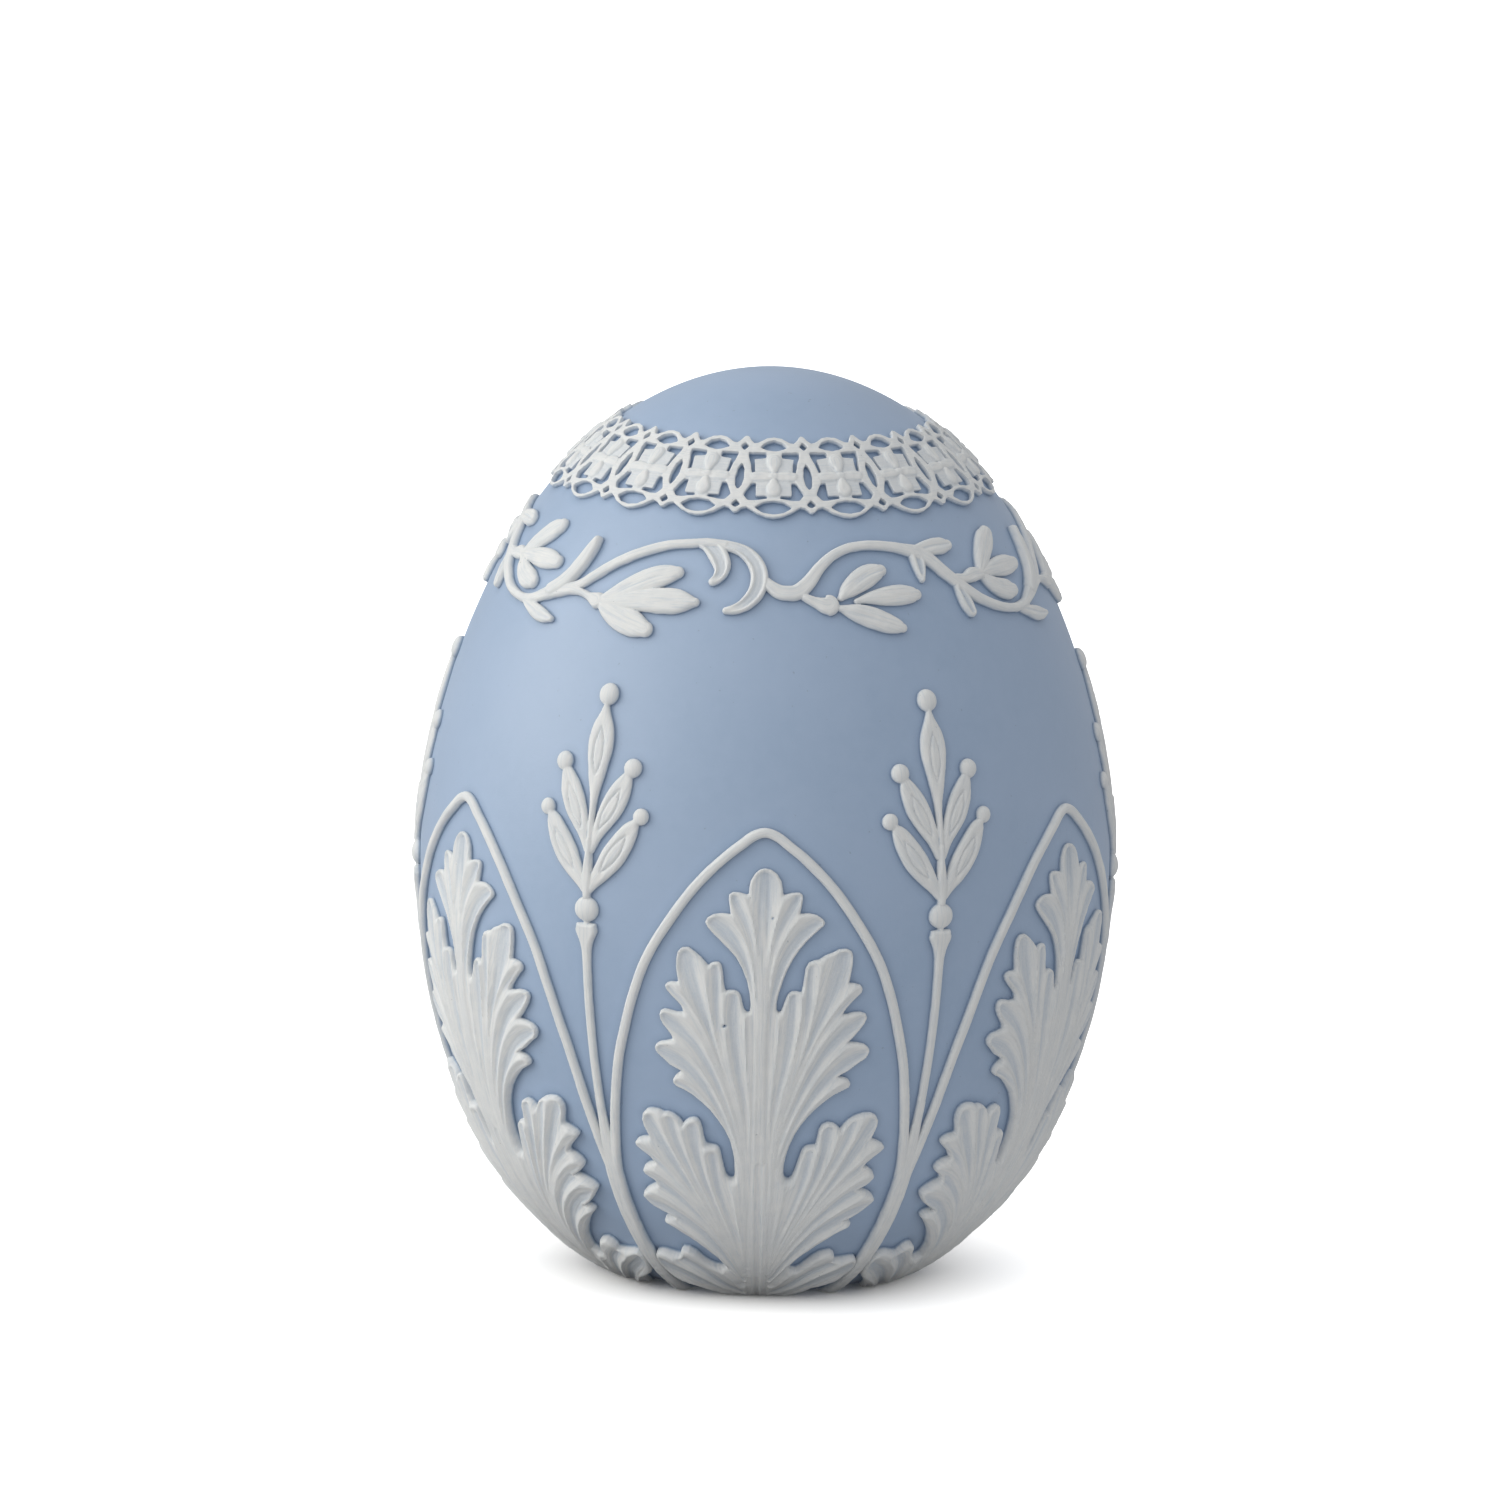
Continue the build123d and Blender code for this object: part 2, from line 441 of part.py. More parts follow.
for k in range(LACE_SECTIONS):
    with BuildPart() as lace_copy:
        add(lace_band.part, rotation=(0, 0, LACE_OFFSET + 60 * k))
    lace_copy.part.label = f"lace_band_{k + 1}"
    export_step(lace_copy.part, f"parts/lace_band_{k + 1}.step")
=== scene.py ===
import math

import bpy
import numpy as np
from mathutils import Matrix, Vector
from mathutils.geometry import delaunay_2d_cdt


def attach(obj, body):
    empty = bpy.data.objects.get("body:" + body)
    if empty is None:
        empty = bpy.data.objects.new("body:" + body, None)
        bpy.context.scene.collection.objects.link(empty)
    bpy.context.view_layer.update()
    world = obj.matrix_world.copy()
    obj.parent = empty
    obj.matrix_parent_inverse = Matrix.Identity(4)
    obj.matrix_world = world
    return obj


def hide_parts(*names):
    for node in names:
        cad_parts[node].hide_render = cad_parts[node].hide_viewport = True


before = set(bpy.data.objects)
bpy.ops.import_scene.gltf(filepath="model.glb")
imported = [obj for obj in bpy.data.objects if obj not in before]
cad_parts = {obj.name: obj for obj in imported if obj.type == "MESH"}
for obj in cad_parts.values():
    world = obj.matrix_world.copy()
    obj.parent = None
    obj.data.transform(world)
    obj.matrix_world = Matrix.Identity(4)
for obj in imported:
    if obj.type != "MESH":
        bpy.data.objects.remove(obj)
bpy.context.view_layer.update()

NODES = sorted(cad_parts)

# ------------------------------------------------------------------ egg profile
H = 190.0
A0, L0 = 71.8317, 195.4071
KS = (-0.0634, -0.0435, -0.0272, 0.2512, -0.0957, -0.0657)
R0 = 70.0


def rfit(z):
    t = np.clip((np.asarray(z, float) - (H - L0 / 2)) / (L0 / 2), -1, 1)
    g = 1 + sum(k * t ** (i + 1) for i, k in enumerate(KS))
    return A0 * np.sqrt(np.clip(1 - t * t, 0, None)) * g


def rb(z):
    z = np.asarray(z, float)
    return np.maximum(rfit(z) - 3.1 / (1 + (np.maximum(z, 0) / 26.0) ** 3), 0.0)


ZT = np.concatenate([np.linspace(-2.5, 0, 200)[:-1], np.linspace(0, 188.6, 20001)])
RT = rb(ZT)
_ds = np.hypot(np.diff(ZT), np.diff(RT))
MT = np.concatenate([[0], np.cumsum(_ds / ((RT[1:] + RT[:-1]) / 2))])
MT = MT - np.interp(0.0, ZT, MT)
_sl = np.gradient(RT, ZT)
NRT = 1 / np.sqrt(1 + _sl ** 2)
NZT = -_sl / np.sqrt(1 + _sl ** 2)


def zy(Y):
    return np.interp(np.asarray(Y) / R0, MT, ZT)


def yz(z):
    return R0 * np.interp(z, ZT, MT)


def cm(pts):
    """(azimuth deg, height) to conformal coordinates in mm at radius R0."""
    p = np.asarray(pts, float)
    return np.stack([R0 * np.radians(p[:, 0]), yz(p[:, 1])], -1)


def scale_at(Y):
    return np.interp(zy(Y), ZT, RT) / R0


def place(P, h, zmin=None):
    z0 = zy(P[:, 1])
    r = np.interp(z0, ZT, RT)
    nr = np.interp(z0, ZT, NRT)
    nz = np.interp(z0, ZT, NZT)
    th = P[:, 0] / R0
    rr = r + h * nr
    z = z0 + h * nz
    if zmin is not None:
        z = np.maximum(z, zmin)
    return np.stack([rr * np.sin(th), -rr * np.cos(th), z], -1) * 0.001


# ------------------------------------------------------------------ small helpers
def smooth01(x, a=0.0, b=1.0):
    t = np.clip((x - a) / (b - a), 0, 1)
    return t * t * (3 - 2 * t)


def dome(t):
    """Quarter-round: 0 at the edge, 1 from t = 1 inward."""
    t = np.clip(t, 0, 1)
    return np.sqrt(np.clip(1 - (1 - t) ** 2, 0, 1))


def gauss(x, w):
    return np.exp(-(x / w) ** 2)


def hash2(i, j, seed):
    n = (i.astype(np.int64) * 374761393 + j.astype(np.int64) * 668265263 + seed * 2147483647) & 0xFFFFFFFF
    n = ((n ^ (n >> 13)) * 1274126177) & 0xFFFFFFFF
    n = n ^ (n >> 16)
    return (n & 0xFFFF) / 65535.0 * 2 - 1


def vnoise(x, y, seed=0):
    xi, yi = np.floor(x), np.floor(y)
    fx, fy = x - xi, y - yi
    fx = fx * fx * (3 - 2 * fx)
    fy = fy * fy * (3 - 2 * fy)
    a = hash2(xi, yi, seed)
    b = hash2(xi + 1, yi, seed)
    c = hash2(xi, yi + 1, seed)
    d = hash2(xi + 1, yi + 1, seed)
    return (a * (1 - fx) + b * fx) * (1 - fy) + (c * (1 - fx) + d * fx) * fy


def spline(pts, per=6):
    """Catmull-Rom through rows of any width."""
    p = np.asarray(pts, float)
    if len(p) < 3:
        t = np.linspace(0, 1, per + 1)[:, None]
        return p[0] * (1 - t) + p[-1] * t
    q = np.vstack([2 * p[0] - p[1], p, 2 * p[-1] - p[-2]])
    out = []
    for i in range(1, len(q) - 2):
        for k in range(per):
            t = k / per
            out.append(0.5 * (2 * q[i] + (q[i + 1] - q[i - 1]) * t + (2 * q[i - 1] - 5 * q[i] + 4 * q[i + 1] - q[i + 2]) * t * t
                              + (3 * q[i] - q[i - 1] - 3 * q[i + 1] + q[i + 2]) * t ** 3))
    out.append(q[-2])
    return np.array(out)


BIG = 99.0


def near_path(P, k, line, reach):
    """Nearest point on a polyline. line rows: X, Y, half width (mm).
    Gives distance, signed across, along (all mm), half width and fraction along."""
    N = len(P)
    d = np.full(N, BIG)
    t = np.full(N, BIG)
    s = np.zeros(N)
    w = np.full(N, 1.0)
    f = np.zeros(N)
    lo = line[:, :2].min(0) - reach
    hi = line[:, :2].max(0) + reach
    m = np.where((P[:, 0] > lo[0]) & (P[:, 0] < hi[0]) & (P[:, 1] > lo[1]) & (P[:, 1] < hi[1]))[0]
    if not len(m):
        return d, t, s, w, f
    p = P[m]
    bd = np.full(len(m), 1e18)
    bt = np.zeros(len(m))
    bs = np.zeros(len(m))
    bw = np.zeros(len(m))
    bf = np.zeros(len(m))
    seg = np.diff(line[:, :2], axis=0)
    ln = np.maximum(np.hypot(seg[:, 0], seg[:, 1]), 1e-9)
    kk = scale_at((line[1:, 1] + line[:-1, 1]) / 2)
    acc = np.concatenate([[0], np.cumsum(ln * kk)])
    tot = acc[-1]
    n = len(seg)
    for i in range(n):
        rx = p[:, 0] - line[i, 0]
        ry = p[:, 1] - line[i, 1]
        u = np.clip((rx * seg[i, 0] + ry * seg[i, 1]) / ln[i] ** 2, 0, 1)
        qx = rx - u * seg[i, 0]
        qy = ry - u * seg[i, 1]
        dd = qx * qx + qy * qy
        up = dd < bd
        cr = (seg[i, 0] * ry - seg[i, 1] * rx) / ln[i]
        bd = np.where(up, dd, bd)
        bt = np.where(up, cr, bt)
        bs = np.where(up, acc[i] + u * ln[i] * kk[i], bs)
        bw = np.where(up, line[i, 2] + u * (line[i + 1, 2] - line[i, 2]), bw)
    dd = np.sqrt(bd) * k[m]
    d[m] = dd
    t[m] = np.where(bt < 0, -dd, dd)
    s[m] = bs
    w[m] = bw
    f[m] = bs / tot
    return d, t, s, w, f


def near_poly(P, k, poly, reach=6.0):
    """Signed distance (mm, positive inside) to a closed outline."""
    N = len(P)
    out = np.full(N, -BIG)
    lo = poly.min(0) - reach
    hi = poly.max(0) + reach
    m = np.where((P[:, 0] > lo[0]) & (P[:, 0] < hi[0]) & (P[:, 1] > lo[1]) & (P[:, 1] < hi[1]))[0]
    if not len(m):
        return out
    p = P[m]
    bd = np.full(len(m), 1e18)
    ins = np.zeros(len(m), bool)
    q = np.roll(poly, -1, 0)
    for (ax, ay), (bx, by) in zip(poly, q):
        ex, ey = bx - ax, by - ay
        l2 = max(ex * ex + ey * ey, 1e-12)
        rx = p[:, 0] - ax
        ry = p[:, 1] - ay
        u = np.clip((rx * ex + ry * ey) / l2, 0, 1)
        bd = np.minimum(bd, (rx - u * ex) ** 2 + (ry - u * ey) ** 2)
        if ay != by:
            c = ((ay > p[:, 1]) != (by > p[:, 1])) & (p[:, 0] < ex * (p[:, 1] - ay) / ey + ax)
            ins ^= c
    d = np.sqrt(bd) * k[m]
    out[m] = np.where(ins, d, -d)
    return out


# ------------------------------------------------------------------ relief meshes
CASES = {
    1: (((0, 4, 7),), ((4, 7),)), 2: (((1, 5, 4),), ((5, 4),)), 3: (((0, 1, 5, 7),), ((5, 7),)), 4: (((2, 6, 5),), ((6, 5),)),
    5: (((0, 4, 7), (2, 6, 5)), ((4, 7), (6, 5))), 6: (((1, 2, 6, 4),), ((6, 4),)), 7: (((0, 1, 2, 6, 7),), ((6, 7),)),
    8: (((3, 7, 6),), ((7, 6),)), 9: (((0, 4, 6, 3),), ((4, 6),)), 10: (((1, 5, 4), (3, 7, 6)), ((5, 4), (7, 6))),
    11: (((0, 1, 5, 6, 3),), ((5, 6),)), 12: (((2, 3, 7, 5),), ((7, 5),)), 13: (((0, 4, 5, 2, 3),), ((4, 5),)),
    14: (((1, 2, 3, 7, 4),), ((7, 4),)), 15: (((0, 1, 2, 3),), ()),
}


def relief(name, field, x0, x1, z0, z1, step, under=-0.25, zmin=None):
    """Closed relief piece from field(P, k) -> (signed distance, height, cavity, flow)."""
    ya, yb = float(yz(z0)), float(yz(z1))
    xa, xb = R0 * math.radians(x0), R0 * math.radians(x1)
    nx = int((xb - xa) / step) + 2
    ny = int((yb - ya) / step) + 2
    gx = xa + np.arange(nx) * step
    gy = ya + np.arange(ny) * step
    GX, GY = np.meshgrid(gx, gy)
    P = np.stack([GX.ravel(), GY.ravel()], -1)
    k = scale_at(P[:, 1])
    S, hh, cv, fl = field(P, k)
    S = S.reshape(ny, nx) / k.reshape(ny, nx)
    eps = 0.09 * step
    S = np.where(np.abs(S) < eps, np.where(S > 0, eps, -eps), S)
    S[0, :] = S[-1, :] = np.minimum(S[0, :], -eps)
    S[-1, :] = np.minimum(S[-1, :], -eps)
    S[:, 0] = np.minimum(S[:, 0], -eps)
    S[:, -1] = np.minimum(S[:, -1], -eps)
    ins = S > 0
    nid = np.full((ny, nx), -1)
    nid[ins] = np.arange(ins.sum())
    n0 = int(ins.sum())
    hxm = ins[:, :-1] != ins[:, 1:]
    vym = ins[:-1, :] != ins[1:, :]
    hid = np.full((ny, nx - 1), -1)
    hid[hxm] = n0 + np.arange(hxm.sum())
    n1 = n0 + int(hxm.sum())
    vid = np.full((ny - 1, nx), -1)
    vid[vym] = n1 + np.arange(vym.sum())
    n2 = n1 + int(vym.sum())
    jj, ii = np.where(hxm)
    ta = S[jj, ii] / (S[jj, ii] - S[jj, ii + 1])
    ph = np.stack([gx[ii] + ta * step, gy[jj]], -1)
    jj, ii = np.where(vym)
    tb = S[jj, ii] / (S[jj, ii] - S[jj + 1, ii])
    pv = np.stack([gx[ii], gy[jj] + tb * step], -1)
    PB = np.vstack([ph, pv])
    sB, hB, cB, fB = field(PB, scale_at(PB[:, 1]))
    im = ins.ravel()
    PT = np.vstack([P[im], PB])
    hT = np.concatenate([hh[im], hB])
    cT = np.concatenate([cv[im], cB])
    fT = np.vstack([fl[im], fB])
    code = ins[:-1, :-1] * 1 + ins[:-1, 1:] * 2 + ins[1:, 1:] * 4 + ins[1:, :-1] * 8
    faces = {3: [], 4: [], 5: []}
    edges = []
    for c, (polys, segs) in CASES.items():
        jj, ii = np.where(code == c)
        if not len(jj):
            continue
        look = (nid[jj, ii], nid[jj, ii + 1], nid[jj + 1, ii + 1], nid[jj + 1, ii], hid[jj, ii], vid[jj, ii + 1], hid[jj + 1, ii], vid[jj, ii])
        for pl in polys:
            faces[len(pl)].append(np.stack([look[a] for a in pl], -1))
        for a, b in segs:
            edges.append(np.stack([look[a], look[b]], -1))
    E = np.vstack(edges)
    nb = n2 - n0
    bot = np.arange(nb) + n2                      # bottom copy of each boundary vertex
    walls = np.stack([E[:, 1], E[:, 0], E[:, 0] - n0 + n2, E[:, 1] - n0 + n2], -1)
    faces[4].append(walls)
    # underside: boundary loops with a coarse inner grid
    cs = max(int(round(2.4 / step)), 4)
    sub = np.zeros_like(ins)
    sub[::cs, ::cs] = True
    sel = sub & (S > 0.9)
    jj, ii = np.where(sel)
    PI = np.stack([gx[ii], gy[jj]], -1)
    Vc = [Vector((float(a), float(b))) for a, b in np.vstack([PB, PI])]
    Ec = [(int(a) - n0, int(b) - n0) for a, b in E]
    ov, oe, of, _a, _b, _c = delaunay_2d_cdt(Vc, Ec, [], 0, 1e-6)
    ok = len(ov) == len(Vc)
    if ok:
        ori = [None] * len(ov)
        for a, lst in enumerate(_a):
            ori[a] = lst[0] if lst else -1
        con = set()
        for a, b in Ec:
            con.add((min(a, b), max(a, b)))
        tri = [tuple(ori[v] for v in f) for f in of]
        emap = {}
        for ti, t in enumerate(tri):
            for a, b in ((t[0], t[1]), (t[1], t[2]), (t[2], t[0])):
                emap.setdefault((min(a, b), max(a, b)), []).append(ti)
        state = [None] * len(tri)
        stack = []
        for e, ts in emap.items():
            if len(ts) == 1 and state[ts[0]] is None:
                state[ts[0]] = 1 if e in con else 0
                stack.append(ts[0])
        while stack:
            t = stack.pop()
            a, b, c = tri[t]
            for e in ((a, b), (b, c), (c, a)):
                e = (min(e), max(e))
                for o in emap[e]:
                    if state[o] is None:
                        state[o] = 1 - state[t] if e in con else state[t]
                        stack.append(o)
        VV = np.vstack([PB, PI])
        keep = []
        for t, st in zip(tri, state):
            if st == 1:
                a, b, c = VV[list(t)]
                area = (b[0] - a[0]) * (c[1] - a[1]) - (b[1] - a[1]) * (c[0] - a[0])
                keep.append((t[0], t[2], t[1]) if area > 0 else t)
        tr = np.array(keep, int) + n2
        faces[3].append(tr)
        PU = VV
    else:
        raise RuntimeError("underside of %s was not filled" % name)
    hU = np.full(len(PU), under)
    top = place(PT, hT, zmin)
    low = place(PU, hU, zmin)
    V = np.vstack([top, low])
    cav = np.concatenate([cT, np.ones(len(PU))])
    flow = np.vstack([fT, np.vstack([fB, np.zeros((len(PI), 3))])])
    hgt = np.concatenate([hT, hU])
    return mesh_from(name, V, faces, {"cav": cav, "hgt": hgt}, {"flow": flow})


def mesh_from(name, V, faces, fl=None, vec=None, sharp=52.0):
    me = bpy.data.meshes.new(name)
    me.vertices.add(len(V))
    me.vertices.foreach_set("co", np.asarray(V, np.float32).ravel())
    loops, starts = [], []
    pos = 0
    for n, lst in faces.items():
        if not lst:
            continue
        F = np.vstack(lst)
        loops.append(F.ravel())
        starts.append(pos + np.arange(len(F)) * n)
        pos += F.size
    loops = np.concatenate(loops).astype(np.int32)
    starts = np.concatenate(starts).astype(np.int32)
    me.loops.add(len(loops))
    me.loops.foreach_set("vertex_index", loops)
    me.polygons.add(len(starts))
    me.polygons.foreach_set("loop_start", starts)
    me.update(calc_edges=True)
    me.validate()
    me.polygons.foreach_set("use_smooth", np.ones(len(me.polygons), bool))
    me.set_sharp_from_angle(angle=math.radians(sharp))
    for n, a in (fl or {}).items():
        at = me.attributes.new(n, "FLOAT", "POINT")
        at.data.foreach_set("value", np.asarray(a, np.float32))
    for n, a in (vec or {}).items():
        at = me.attributes.new(n, "FLOAT_VECTOR", "POINT")
        at.data.foreach_set("vector", np.asarray(a, np.float32).ravel())
    return me


def show(me, node, mat, angle=0.0):
    m = me.copy() if angle is not None else me
    if angle:
        m.transform(Matrix.Rotation(math.radians(angle), 4, "Z"))
    ob = bpy.data.objects.new("v_" + node, m)
    bpy.context.scene.collection.objects.link(ob)
    m.materials.clear()
    m.materials.append(mat)
    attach(ob, "root")
    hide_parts(node)
    return ob


# ------------------------------------------------------------------ traced ornament
LEAF = [(-18.81, 3.2), (-21.85, 4.25), (-24.22, 5.26), (-26.11, 6.17), (-27.15, 7.1), (-27.67, 8.43), (-27.94, 9.77), (-27.65, 11.13), (-26.93, 11.91), (-25.7, 12.21), (-24.37, 12.21), (-22.95, 11.92), (-21.63, 11.63), (-20.51, 11.53), (-20.1, 12.12), (-19.68, 12.81), (-18.76, 13.5), (-17.24, 13.4), (-15.72, 12.61), (-14.21, 10.95), (-12.78, 9.88), (-11.15, 9.31), (-9.63, 9.21), (-8.31, 9.5), (-8.72, 10.27), (-9.34, 10.95), (-10.14, 12.03), (-11.66, 13.4), (-13.16, 14.69), (-14.65, 15.98), (-16.13, 17.08), (-17.61, 18.07), (-19.08, 19.17), (-20.46, 19.98), (-20.93, 20.58), (-20.51, 21.18), (-19.6, 21.48), (-18.19, 21.68), (-19.36, 22.38), (-20.93, 23.08), (-22.48, 23.98), (-23.73, 25.17), (-24.31, 26.14), (-23.9, 26.9), (-23, 27.67), (-21.8, 28.34), (-20.41, 28.92), (-21, 29.98), (-21.98, 30.56), (-22.77, 31.14), (-23.06, 31.91), (-22.56, 32.87), (-21.57, 33.45), (-20.18, 33.84), (-21.17, 35.29), (-22.35, 36.26), (-23.53, 37.32), (-23.73, 38), (-23.24, 38.68), (-22.25, 39.16), (-20.67, 39.35), (-20.97, 40.52), (-21.46, 41.88), (-21.67, 43.24), (-21.38, 44.6), (-20.59, 45.47), (-19.6, 45.77), (-18.31, 45.57), (-17.42, 45.08), (-16.63, 45.18), (-15.64, 44.79), (-14.65, 43.91), (-14, 42.84), (-13.46, 43.52), (-12.77, 44.1), (-11.98, 44.39), (-11.19, 44.2), (-10.74, 43.23), (-10.49, 41.87), (-10.34, 40.31), (-9.99, 38.67), (-9.1, 38.47), (-8.01, 38.33), (-7.52, 37.89), (-7.27, 36.83), (-7.03, 35.08), (-6.73, 33.35), (-6.34, 31.8), (-5.84, 31.13), (-5.25, 30.98), (-4.8, 31.32), (-4.65, 32.67), (-4.67, 35.08), (-4.95, 37.5), (-5.44, 39.93), (-6.33, 42.06), (-7.52, 44.3), (-8.91, 46.45), (-10.4, 48.11), (-11.88, 49.49), (-13.37, 50.57), (-14.65, 51.16), (-15.25, 51.84), (-15.25, 52.63), (-14.76, 53.41), (-14.16, 54), (-13.57, 54.49), (-14.46, 55.08), (-15.65, 55.77), (-16.84, 57.05), (-17.84, 58.13), (-18.18, 59.11), (-17.94, 59.89), (-17.25, 60.48), (-16.06, 60.78), (-14.97, 61.17), (-15.12, 62.05), (-15.67, 62.94), (-16.47, 64.12), (-17.02, 65.39), (-17.17, 66.38), (-16.87, 67.26), (-16.18, 67.56), (-15.19, 67.36), (-14.19, 67.06), (-13, 67.16), (-13.3, 68.34), (-14, 69.32), (-14.9, 70.4), (-15.8, 71.68), (-16.1, 72.57), (-15.7, 73.16), (-14.91, 73.45), (-13.87, 73.45), (-14.02, 75.02), (-14.18, 76.79), (-14.18, 78.37), (-13.94, 79.84), (-13.24, 80.73), (-12.15, 80.82), (-11.05, 79.94), (-10.05, 78.95), (-9.26, 77.87), (-8.86, 77.18), (-8.46, 77.77), (-7.86, 78.07), (-7.17, 78.07), (-6.72, 77.48), (-6.47, 76), (-6.31, 74.04), (-6.06, 72.02), (-5.37, 72.27), (-4.57, 72.27), (-3.88, 71.88), (-3.48, 70.99), (-3.23, 69.71), (-2.98, 68.53), (-2.68, 67.85), (-2.28, 67.65), (-1.99, 67.94), (-1.89, 69.32), (-2.04, 71.58), (-2.54, 74.33), (-3.33, 76.89), (-4.38, 79.15), (-5.58, 80.92), (-6.77, 82.3), (-7.97, 83.78), (-9.07, 85.26), (-9.47, 86.25), (-9.07, 87.24), (-8.07, 87.93), (-6.78, 88.18), (-5.28, 88.03), (-5.48, 89.42), (-5.73, 91), (-5.68, 92.09), (-5.08, 92.63), (-3.99, 92.58), (-2.49, 92.09), (-2.39, 93.37), (-2.24, 94.96), (-1.59, 96.44), (-0.8, 97.33), (0.1, 97.63), (1.1, 97.33), (2.09, 96.44), (2.79, 94.96), (2.99, 93.57), (3.09, 92.19), (4.49, 92.68), (5.68, 92.73), (6.23, 92.29), (6.28, 91.39), (6.13, 90.01), (5.93, 88.43), (7.28, 88.48), (8.57, 88.13), (9.57, 87.34), (10.02, 86.55), (9.77, 85.85), (9.07, 85.16), (7.97, 83.88), (6.97, 82.6), (5.98, 81.02), (4.98, 79.15), (4.08, 76.99), (3.33, 74.43), (2.73, 71.78), (2.38, 69.71), (2.38, 68.24), (2.68, 67.75), (3.13, 67.85), (3.43, 68.83), (3.82, 70.3), (4.22, 71.58), (4.87, 72.27), (5.66, 72.27), (6.41, 72.07), (6.61, 73.25), (6.81, 75.41), (6.97, 77.08), (7.46, 78.27), (8.36, 78.76), (9.16, 78.86), (10.16, 79.74), (11.35, 80.23), (12.45, 80.92), (13.64, 81.02), (14.44, 80.53), (14.73, 79.55), (14.73, 77.68), (14.52, 75.71), (14.17, 73.84), (15.21, 73.74), (16.2, 73.35), (16.59, 72.57), (16.39, 71.78), (15.69, 70.99), (14.7, 69.62), (13.9, 68.44), (13.4, 67.31), (14.29, 67.31), (15.29, 67.65), (16.48, 67.65), (17.37, 67.26), (17.61, 66.38), (17.16, 65), (16.37, 63.63), (15.57, 62.45), (14.67, 61.36), (16.36, 61.12), (17.64, 60.68), (18.43, 59.89), (18.58, 59.01), (18.03, 57.83), (16.84, 56.85), (15.85, 55.87), (14.86, 54.98), (13.17, 53.9), (14.36, 53.66), (15.25, 53.22), (15.74, 52.33), (15.45, 51.55), (14.36, 50.86), (12.87, 49.98), (11.39, 48.6), (10.1, 47.23), (8.71, 45.47), (7.42, 43.42), (6.33, 41.09), (5.54, 38.86), (5.05, 36.53), (4.75, 34.41), (4.75, 32.38), (5.15, 31.32), (5.84, 31.03), (6.54, 31.61), (6.93, 32.77), (7.32, 34.6), (7.67, 36.25), (8.11, 37.79), (8.71, 38.47), (9.5, 38.67), (10.49, 38.72), (10.69, 40.32), (10.89, 42.06), (11.38, 43.23), (12.37, 43.76), (13.36, 43.62), (14.15, 43.03), (14.84, 42.16), (15.34, 43.04), (16.13, 44.11), (17.42, 45.03), (18.81, 45.52), (20.29, 45.52), (21.28, 44.98), (21.77, 43.92), (21.71, 42.65), (21.31, 41.29), (20.92, 39.93), (22.35, 39.26), (23.53, 38.58), (23.98, 37.9), (23.24, 37.03), (22.05, 35.87), (20.87, 34.71), (20.28, 33.74), (21.57, 33.31), (22.76, 32.39), (23.26, 31.33), (22.67, 30.46), (21.79, 29.6), (20.12, 28.63), (21.41, 28.3), (23, 27.58), (24.1, 26.81), (24.56, 26.14), (24.02, 25.37), (22.87, 24.18), (21.73, 23.08), (20.37, 22.18), (18.89, 21.53), (20, 21.28), (20.93, 20.68), (20.55, 20.08), (19.08, 19.22), (17.32, 17.88), (15.64, 16.58), (14.15, 15.38), (12.66, 14.19), (11.15, 13.01), (10.15, 11.93), (9.13, 10.66), (8.32, 9.79), (9.52, 9.02), (10.94, 8.73), (11.96, 9.31), (13.19, 10.56), (14.41, 11.83), (15.82, 12.81), (17.24, 13.1), (18.66, 13.3), (19.89, 12.71), (20.41, 11.92), (20, 11.14), (21.33, 11.04), (23.36, 11.13), (25.4, 11.33), (26.83, 11.23), (27.64, 10.54), (27.93, 9.38), (27.54, 7.95), (26.58, 6.64), (25.02, 5.72), (22.37, 4.88), (18.86, 4.03), (14.5, 1.6), (11, 0.45), (0, 0.42), (-11, 0.45), (-14.5, 1.4)]
ARCH = [(-0, 104.76), (2, 103.96), (3.99, 102.08), (5.99, 100.1), (7.98, 97.82), (9.98, 95.24), (11.98, 92.27), (13.98, 88.81), (15.97, 85.04), (17.97, 80.98), (19.97, 76.02), (21.98, 69.18), (23.7, 62.24), (25.02, 56.57), (26.06, 50.8), (27.13, 44.33), (28.03, 38.84), (28.78, 33.84), (29.38, 29.33)]
ARCH_W = 2.05
